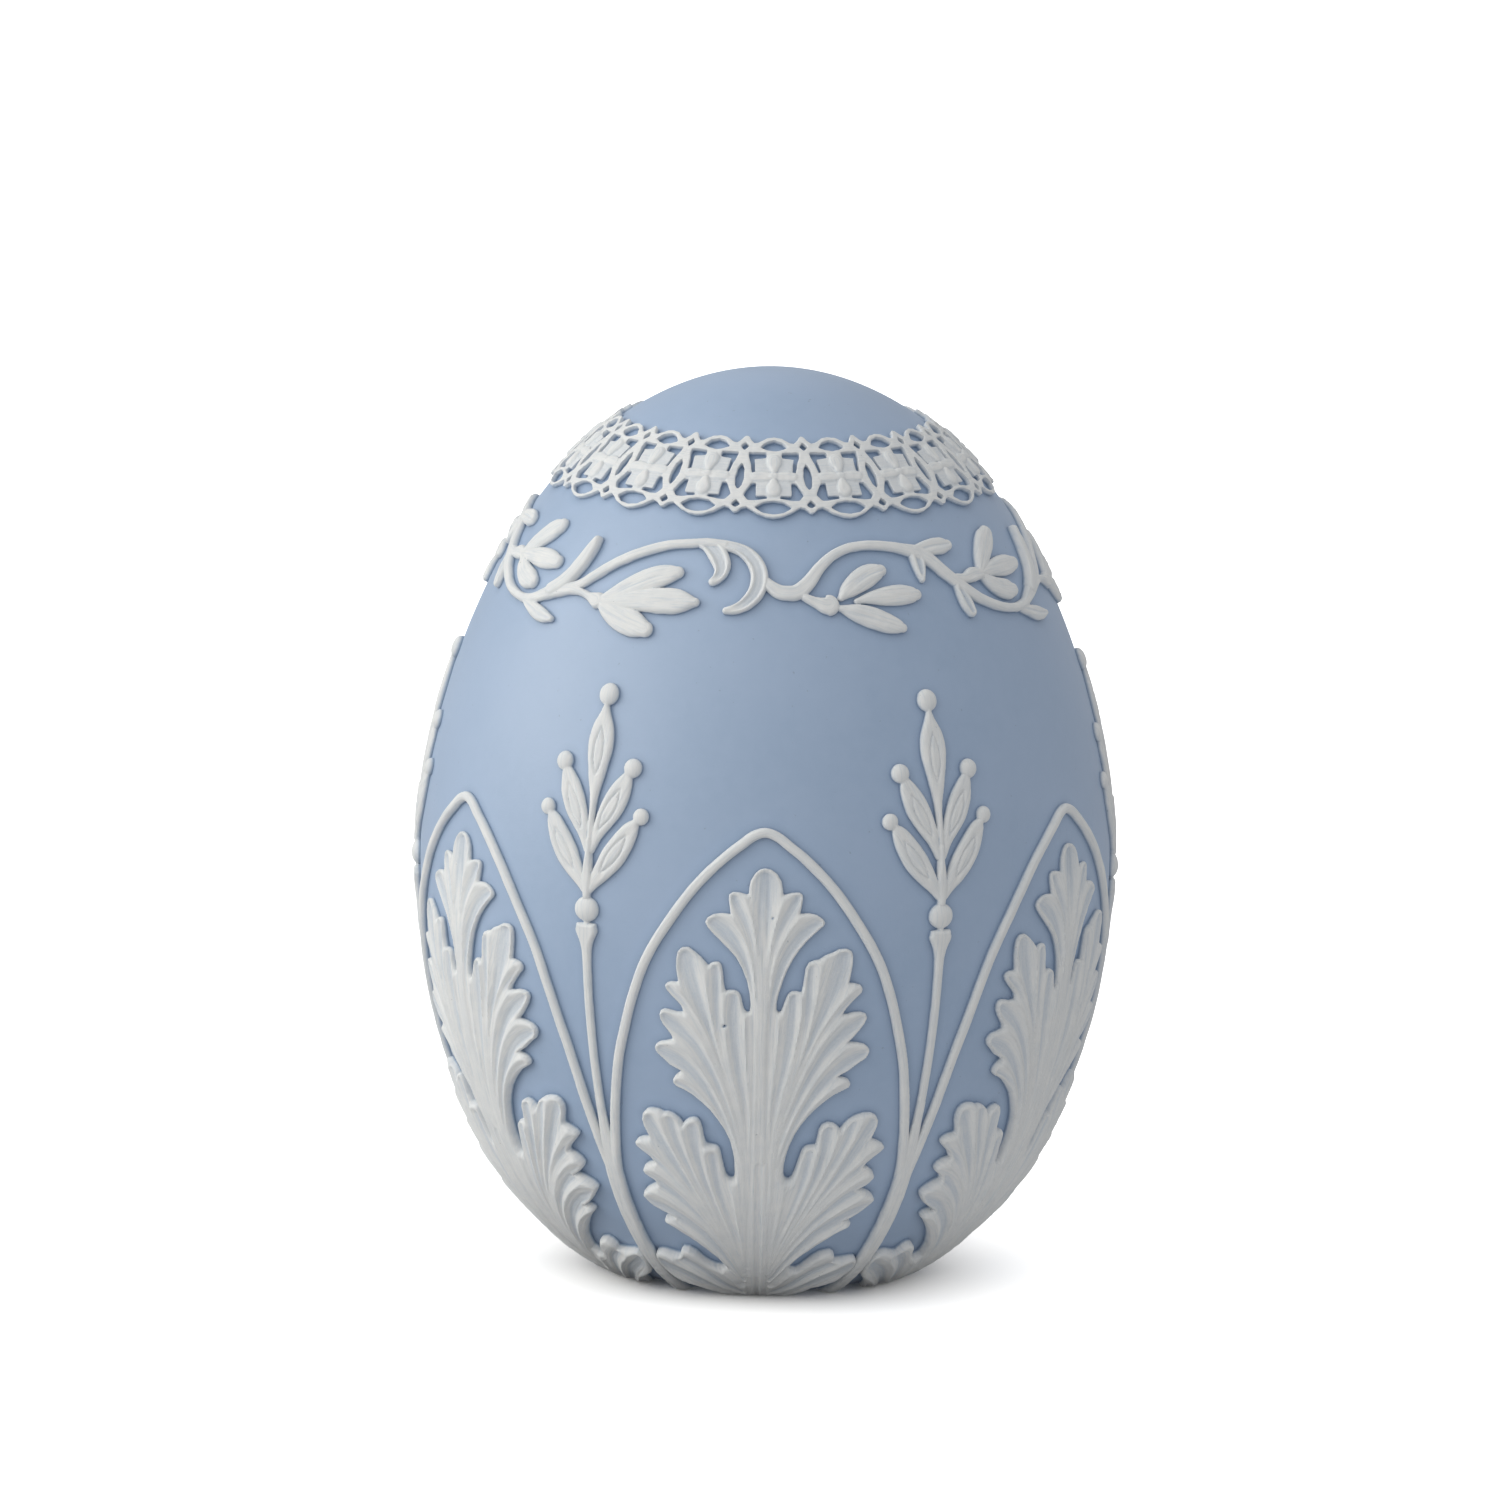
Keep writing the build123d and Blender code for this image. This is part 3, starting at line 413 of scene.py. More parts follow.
VINE_A = {
    "stem": [(-60.4, 145.35, 1.95), (-58.55, 145.47, 2), (-56.08, 145.86, 2.1), (-53.61, 146.75, 2.6), (-50.63, 147.93, 3.2), (-47.66, 148.62, 2.8), (-44.69, 148.82, 1.9), (-41.72, 148.52, 1.6), (-40.24, 148.12, 1.8), (-37.96, 147.62, 3.6)],
    "blade": [(-51.13, 148.13, 3.2), (-48.64, 149.91, 3.3), (-46.64, 152.09, 3.3), (-45.13, 154.76, 3.3), (-44.21, 157.04, 2.8), (-43.69, 158.62, 1.9)],
    "leaf": [(-58.55, 144.87, 1.4), (-55.6, 144.07, 2.6), (-53.14, 143.37, 3.2), (-50.68, 142.87, 2.8), (-48.5, 142.67, 1.4)],
    "branch": [(-46.18, 149.02, 2.2), (-43.19, 150.4, 2.1), (-40.21, 152.48, 2.2), (-36.22, 155.05, 2.2), (-31.75, 157.13, 2.2), (-27.77, 158.51, 2.1), (-23.8, 159.5, 2), (-19.83, 159.99, 1.9), (-14.88, 160.39, 1.9), (-10.91, 160.19, 2)],
    "scroll": [(-10.91, 160.09, 2.2), (-7.94, 159.59, 2.4), (-5.56, 158.7, 2.9), (-3.57, 157.12, 3.3), (-2.48, 155.04, 3.6), (-2.48, 152.86, 3.6), (-3.48, 150.78, 3.3), (-5.37, 149, 2.7), (-7.36, 148.11, 2.1), (-8.95, 147.81, 1.5)],
    "curl": [(-17, 160.3, 1.8), (-14.6, 159.9, 3.2), (-12.5, 158.6, 4), (-11.1, 156.8, 3.8), (-10.8, 155.2, 3.1), (-11.5, 153.9, 2.3), (-12.5, 153.1, 1.7)],
    "P1": [(-36.97, 147.9, 1.6), (-33.9, 149.2, 3.6), (-30, 151.2, 4.8), (-26, 153, 5), (-22.6, 154, 4.2), (-20.6, 154.5, 2.6)],
    "P2": [(-36.97, 147.62, 1.4), (-32.8, 148, 3), (-27.84, 148.6, 4.6), (-22.87, 148.9, 5.6), (-18.9, 149.05, 5), (-15.6, 149.1, 1.9)],
    "P3": [(-36.97, 147.3, 2), (-34.3, 146.1, 4.2), (-31, 144.9, 5.6), (-27.8, 143.9, 5.4), (-25.2, 143.2, 3.4)],
}
VINE_B = {
    "stem": [(-1.3, 153.7, 2.2), (0.3, 152.56, 2.6), (1.99, 151.67, 3), (3.98, 151.43, 3.2), (5.96, 151.77, 3.3), (8.25, 153.46, 3), (10.92, 156.23, 2.4), (13.89, 158.31, 2.1), (17.36, 159.6, 2), (20.82, 160.09, 2), (24.79, 160.09, 2), (28.75, 159.7, 2.1), (31.73, 159.11, 2.4), (35.2, 158.32, 3.2)],
    "main": [(35.2, 158.32, 3.2), (38.19, 156.64, 3), (40.68, 154.46, 2.7), (43.18, 152.38, 2.6), (45.67, 150.41, 2.6), (48.65, 148.53, 2.3), (51.63, 147.14, 2.1), (54.6, 146.15, 2), (57.56, 145.57, 1.9), (60.12, 145.37, 1.9), (61, 145.35, 1.9)],
    "leaf1": [(35.2, 158.42, 2.6), (38.2, 158.8, 3.3), (41.1, 159, 3.7), (43.4, 159, 3.5), (45, 159, 2.4)],
    "drop1": [(34.91, 157.72, 3.4), (34.83, 156.04, 3.2), (34.74, 154.46, 2.4), (34.65, 153.07, 1.2)],
    "drop2": [(43.28, 151.39, 1.4), (43.99, 149.51, 2.6), (44.6, 147.73, 3.1), (45.11, 146.14, 2.4)],
    "cal1": [(7.26, 150.68, 1.6), (9.45, 149.79, 2.2), (11.24, 149.2, 3.4), (12.15, 149.15, 4.5)],
    "Q1": [(15, 150.5, 1.4), (16.7, 151.9, 3.4), (19.2, 153.4, 4.6), (21.8, 154.6, 4.7), (24, 155.2, 3.6), (24.9, 155.4, 2.6)],
    "Q2": [(18.2, 149.8, 1), (21.5, 150.3, 2.6), (25, 150.5, 4), (28.5, 150.6, 4.4), (31.3, 150.5, 3.4), (32.2, 150.45, 2.4)],
    "Q3": [(14.8, 148.5, 1.4), (17.6, 147.7, 3.6), (20.8, 146.7, 4.6), (24.2, 145.4, 4.3), (26.6, 144.6, 3), (27.4, 144.3, 2)],
    "cal2": [(43.96, 152.78, 1.8), (46.64, 152.49, 2.2), (49.1, 152.89, 3.2), (51.17, 152.89, 2.6)],
    "S1": [(51.9, 153.4, 1.8), (53.9, 155.1, 3.6), (56.8, 157.3, 4.8), (59.4, 158.9, 4.8), (61.2, 159.8, 3.4)],
    "S2": [(51.9, 152.9, 1.6), (55.5, 153.3, 3), (59.4, 153.4, 4.3), (63.3, 153.4, 4.4), (66.4, 153.3, 3)],
    "S3": [(51.97, 152.4, 1.6), (54.15, 150.8, 3.4), (57, 149.5, 4.5), (59.4, 148.95, 4.4), (61.1, 148.7, 3)],
}
BUD_TOP = [(0, 128.0, 1.1), (0, 126.5, 2.2), (0, 123.7, 4.8), (0, 120.7, 5.7), (0, 117.8, 5.2), (0, 113.8, 3.6), (0, 109.8, 1.9), (0, 105.9, 1.3), (0, 99.9, 1.3)]
BUD_UPPER = [(6.1, 115.0, 1.7), (5.5, 113.2, 3.4), (4.6, 110.7, 4.8), (3.5, 107.8, 5.0), (2.3, 104.9, 4.0), (1.2, 101.9, 2.4), (0.5, 98.9, 1.2)]
BUD_LOWER = [(8.2, 105.5, 1.6), (7.3, 103.9, 3.5), (5.9, 100.9, 4.9), (4.3, 97.9, 5.2), (2.8, 95.2, 4.2), (1.4, 92.8, 2.8), (0.6, 90.9, 1.5)]
# leaf fingers: half width near the tip (mm) and the line from tip to base
FINGERS = [
    (3.1, [(0.1, 97.6), (0, 85), (0, 70)]),
    (1.7, [(-4.9, 91.6), (-3.6, 88.5), (-2.2, 84.5), (-1.2, 79), (-0.8, 72)]),
    (1.7, [(6, 92.6), (4.31, 89.15), (2.59, 84.85), (1.34, 79.12), (0.8, 72)]),
    (2.3, [(-8.4, 86.3), (-6, 84.3), (-4, 81), (-2.5, 76.5), (-1.6, 71), (-1.3, 66)]),
    (2.3, [(10, 86.5), (7.14, 84.44), (4.74, 81.09), (2.9, 76.55), (1.74, 71.02), (1.3, 66)]),
    (1.6, [(-4.6, 71), (-4.8, 67), (-4.6, 62), (-3.8, 55), (-2.6, 46)]),
    (1.6, [(5, 72), (5.06, 67.65), (4.74, 62.35), (3.85, 55.12), (2.6, 46)]),
    (1.45, [(-7.6, 76.8), (-7.6, 72), (-7.4, 66), (-6.4, 58), (-4.6, 49), (-3, 42)]),
    (1.45, [(7.6, 76.9), (7.6, 72.07), (7.4, 66.05), (6.4, 58.03), (4.6, 49.01), (3, 42)]),
    (2.4, [(-12.6, 79.2), (-11.6, 74), (-10, 68), (-7.6, 60), (-5, 50), (-3.2, 41)]),
    (2.4, [(13.4, 79.9), (12.17, 74.5), (10.37, 68.33), (7.8, 60.18), (5.07, 50.06), (3.2, 41)]),
    (1.2, [(-15.3, 72), (-13, 69.5), (-10.5, 65.5), (-8, 59.5), (-5.5, 51), (-3.4, 41)]),
    (1.2, [(16.6, 71.8), (13.93, 69.36), (11.1, 65.41), (8.33, 59.45), (5.62, 50.98), (3.4, 41)]),
    (1.8, [(-16.4, 65.7), (-13.5, 63.5), (-10.5, 59.5), (-7.6, 53), (-5, 45), (-3.3, 37)]),
    (1.8, [(17.7, 66.2), (14.43, 63.86), (11.1, 59.73), (7.93, 53.13), (5.12, 45.04), (3.3, 37)]),
    (2, [(-17.3, 58.6), (-14, 57), (-10.5, 53), (-7.3, 46.5), (-5, 40), (-3.4, 33)]),
    (2, [(18.7, 58.7), (15, 57.07), (11.15, 53.05), (7.65, 46.53), (5.13, 40.01), (3.4, 33)]),
    (1.3, [(-14.6, 52), (-12, 50.5), (-9, 47.3), (-6.6, 42.5), (-4.6, 36), (-3.6, 30)]),
    (1.3, [(15.8, 51.5), (12.86, 50.14), (9.56, 47.07), (6.9, 42.37), (4.71, 35.96), (3.6, 30)]),
    (1.4, [(-8.8, 36.4), (-8.3, 31), (-7, 25), (-5, 18), (-3, 10)]),
    (1.4, [(9.5, 37.6), (8.75, 31.78), (7.25, 25.42), (5.09, 18.15), (3, 10)]),
    (1.6, [(-12.3, 42.2), (-11.8, 37), (-10.3, 30), (-7.6, 21.5), (-4.5, 13.5), (-2.5, 8)]),
    (1.6, [(12.5, 42.9), (11.94, 37.5), (10.39, 30.33), (7.65, 21.68), (4.52, 13.56), (2.5, 8)]),
    (1.5, [(-16.3, 44), (-15.6, 40), (-13.2, 33), (-10, 25.5), (-6.4, 17), (-3.3, 10)]),
    (1.5, [(16.9, 44), (16.03, 40), (13.48, 33), (10.15, 25.5), (6.45, 17), (3.3, 10)]),
    (2, [(-20.2, 43.3), (-18.1, 39), (-15.1, 32.5), (-11.3, 25), (-7, 17), (-3.5, 10)]),
    (2, [(20.9, 44.2), (18.6, 39.64), (15.43, 32.92), (11.48, 25.23), (7.06, 17.08), (3.5, 10)]),
    (1.3, [(-23, 37), (-20, 34.8), (-16, 31), (-11.5, 25), (-7.2, 17), (-3.5, 9)]),
    (1.3, [(24.2, 37), (20.86, 34.8), (16.56, 31), (11.8, 25), (7.31, 17), (3.5, 9)]),
    (1.4, [(-22.4, 30.6), (-19, 28.8), (-15, 25.5), (-11, 21), (-7, 14.5), (-3.5, 8)]),
    (1.4, [(23.5, 30), (19.79, 28.37), (15.51, 25.22), (11.28, 20.85), (7.1, 14.45), (3.5, 8)]),
    (2, [(-23.4, 24.8), (-20, 24), (-16, 21.5), (-11.5, 17.5), (-7, 12), (-3.5, 7)]),
    (2, [(24.7, 24.7), (20.93, 23.93), (16.6, 21.45), (11.83, 17.47), (7.12, 11.99), (3.5, 7)]),
    (1.3, [(-20, 19.1), (-17, 17.6), (-13, 14.8), (-9, 11), (-6, 8), (-3.5, 5.5)]),
    (1.3, [(21, 19), (17.72, 17.53), (13.46, 14.75), (9.25, 10.97), (6.09, 7.99), (3.5, 5.5)]),
    (1.4, [(-19.3, 11), (-15, 8.5), (-10, 5), (-5, 3)]),
    (1.4, [(20, 10.7), (15.38, 8.34), (10.13, 4.94), (5, 3)]),
    (1.9, [(-26.5, 9.5), (-20, 7), (-13, 4), (-6, 2)]),
    (1.9, [(27, 9.6), (20.27, 7.05), (13.1, 4.02), (6, 2)]),
    (1.4, [(-26, 4.5), (-20, 3.2), (-12, 1.6), (-6, 1)]),
    (1.4, [(26.4, 4.8), (20.22, 3.36), (12.08, 1.66), (6, 1)]),
]
LACE_TOP = [(0, 179.45), (2.7, 179.25), (4.5, 178.8), (5.6, 178.5), (6.9, 178.4), (8.1, 178.85), (9, 179.4), (9.6, 179.6), (10, 179.6)]
LACE_BOT = [(0, 165.2), (1.7, 165.35), (4.3, 166), (5.7, 166.6), (7.1, 167.1), (8.4, 166.85), (9.2, 166.35), (9.7, 166.1), (10, 166.1)]
LACE_HOLES = [
    [(-2.7, 166.2), (0, 165.92), (2.7, 166.2), (4.8, 167.1), (2.7, 168), (0, 168.22), (-2.7, 168)],
    [(-2.4, 177.25), (0, 177.05), (2.4, 177.25), (4.5, 177.65), (2.7, 178.48), (0, 178.85), (-2.7, 178.48)],
    [(2.7, 176.7), (8.2, 176.75), (8, 176.1), (7.05, 174.8), (6.35, 173.2), (5.75, 173.25), (6.15, 174.7), (6.5, 175.75), (2.7, 176)],
    [(10, 174.75), (9.15, 173.9), (8.85, 172.4), (9.25, 170.95), (10, 170.3), (10.75, 170.95), (11.15, 172.4), (10.85, 173.9)],
    [(5.2, 171.5), (6.35, 171.4), (7.4, 170.3), (8.1, 169.35), (6.9, 168.4), (5.3, 168.4), (1.9, 168.75), (1.9, 169.2), (5.05, 169.15), (5.15, 170.1)],
    [(8.75, 177.8), (10, 178.45), (11.25, 177.8), (10, 177.15)],
    [(8.85, 167.55), (10, 168.35), (11.15, 167.55), (10, 167.05)],
]
LACE_PETALS = [
    ([(0, 173.8, 1.7), (0, 174.7, 2.9), (0, 175.4, 3.1)], 1.6),
    ([(0, 171.6, 1.7), (0, 170.8, 2.8), (0, 170.15, 3)], 1.6),
    ([(1, 172.65, 1.7), (2.4, 172.65, 2.3), (4.4, 172.65, 2.6), (5.5, 172.6, 2.3)], 1.42),
    ([(-0.25, 172.7, 1.7), (0.25, 172.7, 1.7)], 1.62),
]
BOUNCE = 0.535
BOUNCE_DARK = 0.06
BOUNCE_IN = 0.031
BOUNCE_OUT = 0.072
# painted shade on the blue shell next to the sprigs: reach (m) and strength
PAINTED_SHADE_REACH = 0.002
PAINTED_EDGE_SHADE = 0.62
LACE_THIN = 0.14
KEY_POW = 5.0
KEY_TINT = (1.0, 0.985, 0.93)
# height (mm) up to which relief walls get the painted shade and blue tint
WALL_SHADE_TOP = 0.6
FLAT = 0.72
STRIP_TOP = 0.15
STRIP = 2.65
STRIP_OFF = 0.03
STRIP_IN = 0.2
STRIP_OUT = 0.52
BLUE_SPEC = 1.0
BLUE_SHEEN = 0.06
BLUE_ROUGH = 0.5
LACE_BASE = 1.22
LEAF_DISH = 0.82
LEAF_RIDGE = 0.12
SUN_DIR = (0.14, 0.16, -0.97)
SUN = 4.5
SUN_ANGLE = 178.0
KEY_DIR = (-0.67, -0.62, 0.42)
KEY_GAIN = 0.86
AMB_LOW = 0.405
AMB_UP = 0.555
FLOOR_GLOW = 0.0


class Stack:
    """Union of shapes on one grid: the highest shape shows, with soft joins."""

    def __init__(self, P, k, soft=0.10):
        n = len(P)
        self.P, self.k, self.soft, self.ref = P, k, soft, 1.3
        self.sd = np.full(n, -BIG)
        self.h = np.full(n, -BIG)
        self.cav = np.zeros(n)
        self.flow = np.zeros((n, 3))
        self.own = np.full(n, -BIG)

    def add(self, sd, h, cav, s, t, seed):
        new = h > self.own
        inside = sd > -0.05
        hs = np.where(inside, h, -BIG)
        win = hs > self.own
        near = (sd > self.sd)
        # a shape's own colour and flow show where it is highest, or nearest outside
        pick = win | (near & ~(self.own > -BIG / 2) & ~inside)
        self.cav = np.where(pick, cav, self.cav)
        self.flow = np.where(pick[:, None], np.stack([s, t, np.full(len(s), float(seed))], -1), self.flow)
        if self.soft > 0:
            a, b = self.h, hs
            both = (a > -BIG / 2) & (b > -BIG / 2)
            e = np.clip(0.5 + 0.5 * (b - a) / self.soft, 0, 1)
            sm = a * (1 - e) + b * e + self.soft * e * (1 - e)
            # a darker blue line in the colour where the rounded edges of two shapes meet: partly blue ground in the
            # crease, partly painted shade
            low = smooth01(self.ref - np.maximum(a, b), 0.08, 0.45)
            self.cav = np.where(both, np.maximum(self.cav, gauss(b - a, 0.2) * 0.75 * low), self.cav)
            self.h = np.where(both, sm, np.maximum(a, b))
        else:
            self.h = np.maximum(self.h, hs)
        self.own = np.maximum(self.own, hs)
        self.sd = np.maximum(self.sd, sd)

    def done(self, floor=0.35):
        h = np.where(self.h < -BIG / 2, floor, self.h)
        return self.sd, h, self.cav, self.flow


def stroke_line(pts, axis=0.0, mirror=1.0, wscale=1.0, per=6):
    a = np.asarray(pts, float)
    xy = cm(np.stack([(a[:, 0] - axis) * mirror, a[:, 1]], -1))
    return spline(np.column_stack([xy, a[:, 2] / 2 * wscale]), per)


def ball(st, th, z, ra, rz, top, seed, wall=0.45):
    c = cm([(th, z)])[0]
    dx = (st.P[:, 0] - c[0]) * st.k
    dy = (st.P[:, 1] - c[1]) * st.k
    q = np.hypot(dx / ra, dy / rz)
    sd = (1 - q) * min(ra, rz)
    h = wall + (top - wall) * np.sqrt(np.clip(1 - q ** 2, 0, 1))
    h = np.where(q < 1, h, wall)
    # the bead's edge is tinted towards blue in colour (cav): blue ground and painted shade
    st.add(np.where(q > 4, -BIG, sd), h, smooth01(q, 0.8, 1.05) * 0.4, dy + 40 * seed, dx, seed)


def strip(st, line, top, seed, wall=0.55, kind="round", rnd=None, zcut=None):
    d, t, s, w, f = near_path(st.P, st.k, line, 7.0)
    q = d / w
    sd = w - d
    if zcut is not None:
        sd = np.minimum(sd, (yz(zcut) - st.P[:, 1]) * st.k)
    tp = top(f) if callable(top) else top
    r = np.minimum(w, FLAT if rnd is None else rnd)
    base = wall + (tp - wall) * dome(sd / r)
    # cav tints the colour towards blue: blue ground at the stroke's edge and painted shade there and in the grooves
    # below
    cav = smooth01(sd, 0.30, -0.02) * 0.30
    x = t / np.maximum(w, 0.3)
    marks = vnoise(t / 0.42 + seed * 5.1, s / 6.0, 40 + seed)
    if kind == "channel":
        wide = smooth01(w, 0.75, 1.4)
        dish = smooth01(np.abs(x), 0.66, 0.34)
        base = base - 0.55 * dish * wide * smooth01(sd, 0.1, 0.7) + 0.06 * marks
        cav = np.maximum(cav, dish * 0.42 * wide)
    elif kind == "petal":
        crown = 0.16 * (1 - np.clip(q, 0, 1) ** 2) * smooth01(w, 0.8, 1.8)
        base = base + crown + 0.085 * marks * smooth01(sd, 0.15, 0.7)
        cav = np.maximum(cav, smooth01(marks, -0.1, -0.9) * 0.35 * smooth01(sd, 0.1, 0.6))
    elif kind[:6] == "almond":
        # a small engraved almond inside the bud
        f0, fh = (0.33, 0.17) if kind == "almond2" else (0.47, 0.27)
        g = (f - f0) / fh
        wl = 0.50 * np.minimum(w, 2.2) * (1.0 - g * g)
        beyond = (np.abs(g) - 1.0) * fh * s / np.maximum(f, 0.05)
        ds = np.where(wl > 0, np.abs(t) - wl, np.hypot(t, beyond))
        go = smooth01(f, 0.08, 0.16) * smooth01(f, 0.92, 0.84)
        ring = gauss(ds, 0.20) * go
        inner = smooth01(ds, -0.05, -0.4) * go
        base = base - 0.32 * ring + 0.05 * inner + 0.07 * marks
        cav = np.maximum(cav, ring * 0.34)
    elif kind == "drop":
        gr = smooth01(np.abs(x), 0.52, 0.18) * smooth01(w, 0.7, 1.2) * smooth01(sd, 0.1, 0.6)
        base = base - 0.45 * gr
        cav = np.maximum(cav, gr * 0.6)
    elif kind == "ridge":
        base = base + 0.22 * (1 - np.clip(q, 0, 1)) - 0.05 + 0.05 * marks
    elif kind == "leafy":
        gr = gauss(t, 0.30) * smooth01(sd, 0.2, 0.8)
        base = base - 0.20 * gr + 0.05 * marks
        cav = np.maximum(cav, gr * 0.4)
    else:
        base = base + 0.04 * marks
    st.add(sd, base, cav, s + 37.0 * seed, t, seed)
    return sd


def seg_noise(P, amp=0.05, size=4.0, seed=1):
    return amp * vnoise(P[:, 0] / size, P[:, 1] / size, seed)


# ---------------------------------------------------------------- arch
def arch_field(P, k):
    st = Stack(P, k)
    full = [(-a, b, ARCH_W) for a, b in ARCH[::-1]] + [(a, b, ARCH_W) for a, b in ARCH[1:]]
    line = stroke_line(full, per=4)
    strip(st, line, 1.42, 1, wall=0.5)
    sd, h, cav, flow = st.done()
    return sd + seg_noise(P, 0.05, 3.0, 5), h + seg_noise(P, 0.05, 2.6, 6), cav, flow


# ---------------------------------------------------------------- bud spray
def spray_field(P, k):
    st = Stack(P, k, 0.08)
    leg = stroke_line([(0, 47.0, 1.8), (0, 42.0, 1.9), (0, 38.0, 2.6), (0, 34.5, 3.4), (0, 30.0, 3.6), (0, 24.0, 3.5), (0, 16.0, 3.2), (0, 9.0, 3.0), (0, 4.0, 2.9), (0, 0.2, 2.9)], per=4)
    strip(st, leg, lambda f: 1.25 + 0.55 * smooth01(f, 0.12, 0.4), 3, wall=0.8)
    strip(st, stroke_line([(0, 83.2, 4.6), (0, 82.5, 5.0), (0, 81.8, 4.6), (0, 80.8, 3.6), (0, 79.5, 2.7), (0, 77.8, 2.15), (0, 75.5, 1.95), (0, 70.0, 1.85), (0, 60.0, 1.8), (0, 50.0, 1.8), (0, 41.0, 1.8)], per=4),
          lambda f: 1.45 - 0.23 * smooth01(f, 0.06, 0.16), 5, wall=0.5, zcut=83.9)
    strip(st, stroke_line([(0, 90.6, 1.5), (0, 86, 1.2), (0, 82.8, 1.2)], per=3), 1.0, 6)
    strip(st, stroke_line([(0, 101.0, 1.3), (0, 97.9, 1.6), (0, 94.4, 2.2), (0, 92.0, 2.1), (0, 89.6, 1.7)], per=5), 1.55, 7)
    strip(st, stroke_line(BUD_TOP), 1.25, 8, kind="almond2", rnd=1.2)
    for sgn in (-1, 1):
        strip(st, stroke_line(BUD_LOWER, mirror=sgn), 1.25, 11 + sgn, kind="almond", rnd=1.1)
        strip(st, stroke_line(BUD_UPPER, mirror=sgn), 1.18, 15 + sgn, kind="almond", rnd=1.1)
        ball(st, sgn * 6.7, 116.1, 1.95, 2.0, 1.65, 19 + sgn)
        ball(st, sgn * 8.95, 106.6, 1.7, 1.75, 1.55, 23 + sgn)
    ball(st, 0, 130.1, 2.2, 2.35, 1.75, 27)
    ball(st, 0, 86.8, 2.7, 2.6, 1.95, 29)
    sd, h, cav, flow = st.done()
    return sd + seg_noise(P, 0.06, 2.2, 7), h + seg_noise(P, 0.06, 2.0, 8), cav, flow


# ---------------------------------------------------------------- vine
VKIND = {
    "stem": ("round", 1.45), "blade": ("ridge", 1.75), "leaf": ("leafy", 1.35), "branch": ("round", 1.35), "scroll": ("channel", 1.5), "curl": ("channel", 1.4),
    "P1": ("petal", 1.35), "P2": ("petal", 1.45), "P3": ("petal", 1.3), "main": ("round", 1.45), "leaf1": ("leafy", 1.35), "drop1": ("drop", 1.45), "drop2": ("drop", 1.45),
    "cal1": ("round", 1.5), "Q1": ("petal", 1.35), "Q2": ("petal", 1.3), "Q3": ("petal", 1.35), "cal2": ("round", 1.45), "S1": ("petal", 1.35), "S2": ("petal", 1.3), "S3": ("petal", 1.35),
}


def vine_field(strokes, axis):
    def fn(P, k):
        st = Stack(P, k, 0.06)
        for i, (nm, pts) in enumerate(strokes.items()):
            kind, top = VKIND[nm]
            strip(st, stroke_line(pts, axis=axis), top, 31 + i, kind=kind, rnd=1.05 if kind == "petal" else None)
        sd, h, cav, flow = st.done()
        return sd + seg_noise(P, 0.06, 2.0, 9), h + seg_noise(P, 0.06, 1.8, 10), cav, flow
    return fn


# ---------------------------------------------------------------- acanthus leaf
def leaf_fingers():
    out = []
    for i, (hw, pts) in enumerate(FINGERS):
        a = np.asarray(pts, float)
        n = len(a)
        f = np.linspace(0, 1, n)
        w = hw * (1.0 - 0.58 * smooth01(f, 0.1, 1.0))
        if abs(a[-1, 0]) > 0.01 and a[-1, 1] > 12:
            # the flutes run on down beside the midrib
            t0, z0 = a[-1]
            z1 = max(z0 - 14.0, 4.0)
            z2 = max(z0 - 30.0, 1.5)
            a = np.vstack([a, [(t0 * 0.82, z1), (t0 * 0.72, z2)]])
            w = np.concatenate([w, [w[-1] * 0.72, w[-1] * 0.5]])
        elif abs(a[0, 0]) < 0.2:
            a = np.vstack([a, [(0, 40.0), (0, 2.0)]])
            w = np.concatenate([w, [w[-1] * 0.9, w[-1] * 0.9]])
        out.append((stroke_line(np.column_stack([a, 2 * w]), per=5), hw))
    return out


LEAF_HT = ((0, 1.7), (5, 2.2), (25, 2.6), (45, 2.1), (70, 1.7), (85, 1.4), (98, 1.3))
_fing = None
PITS = []


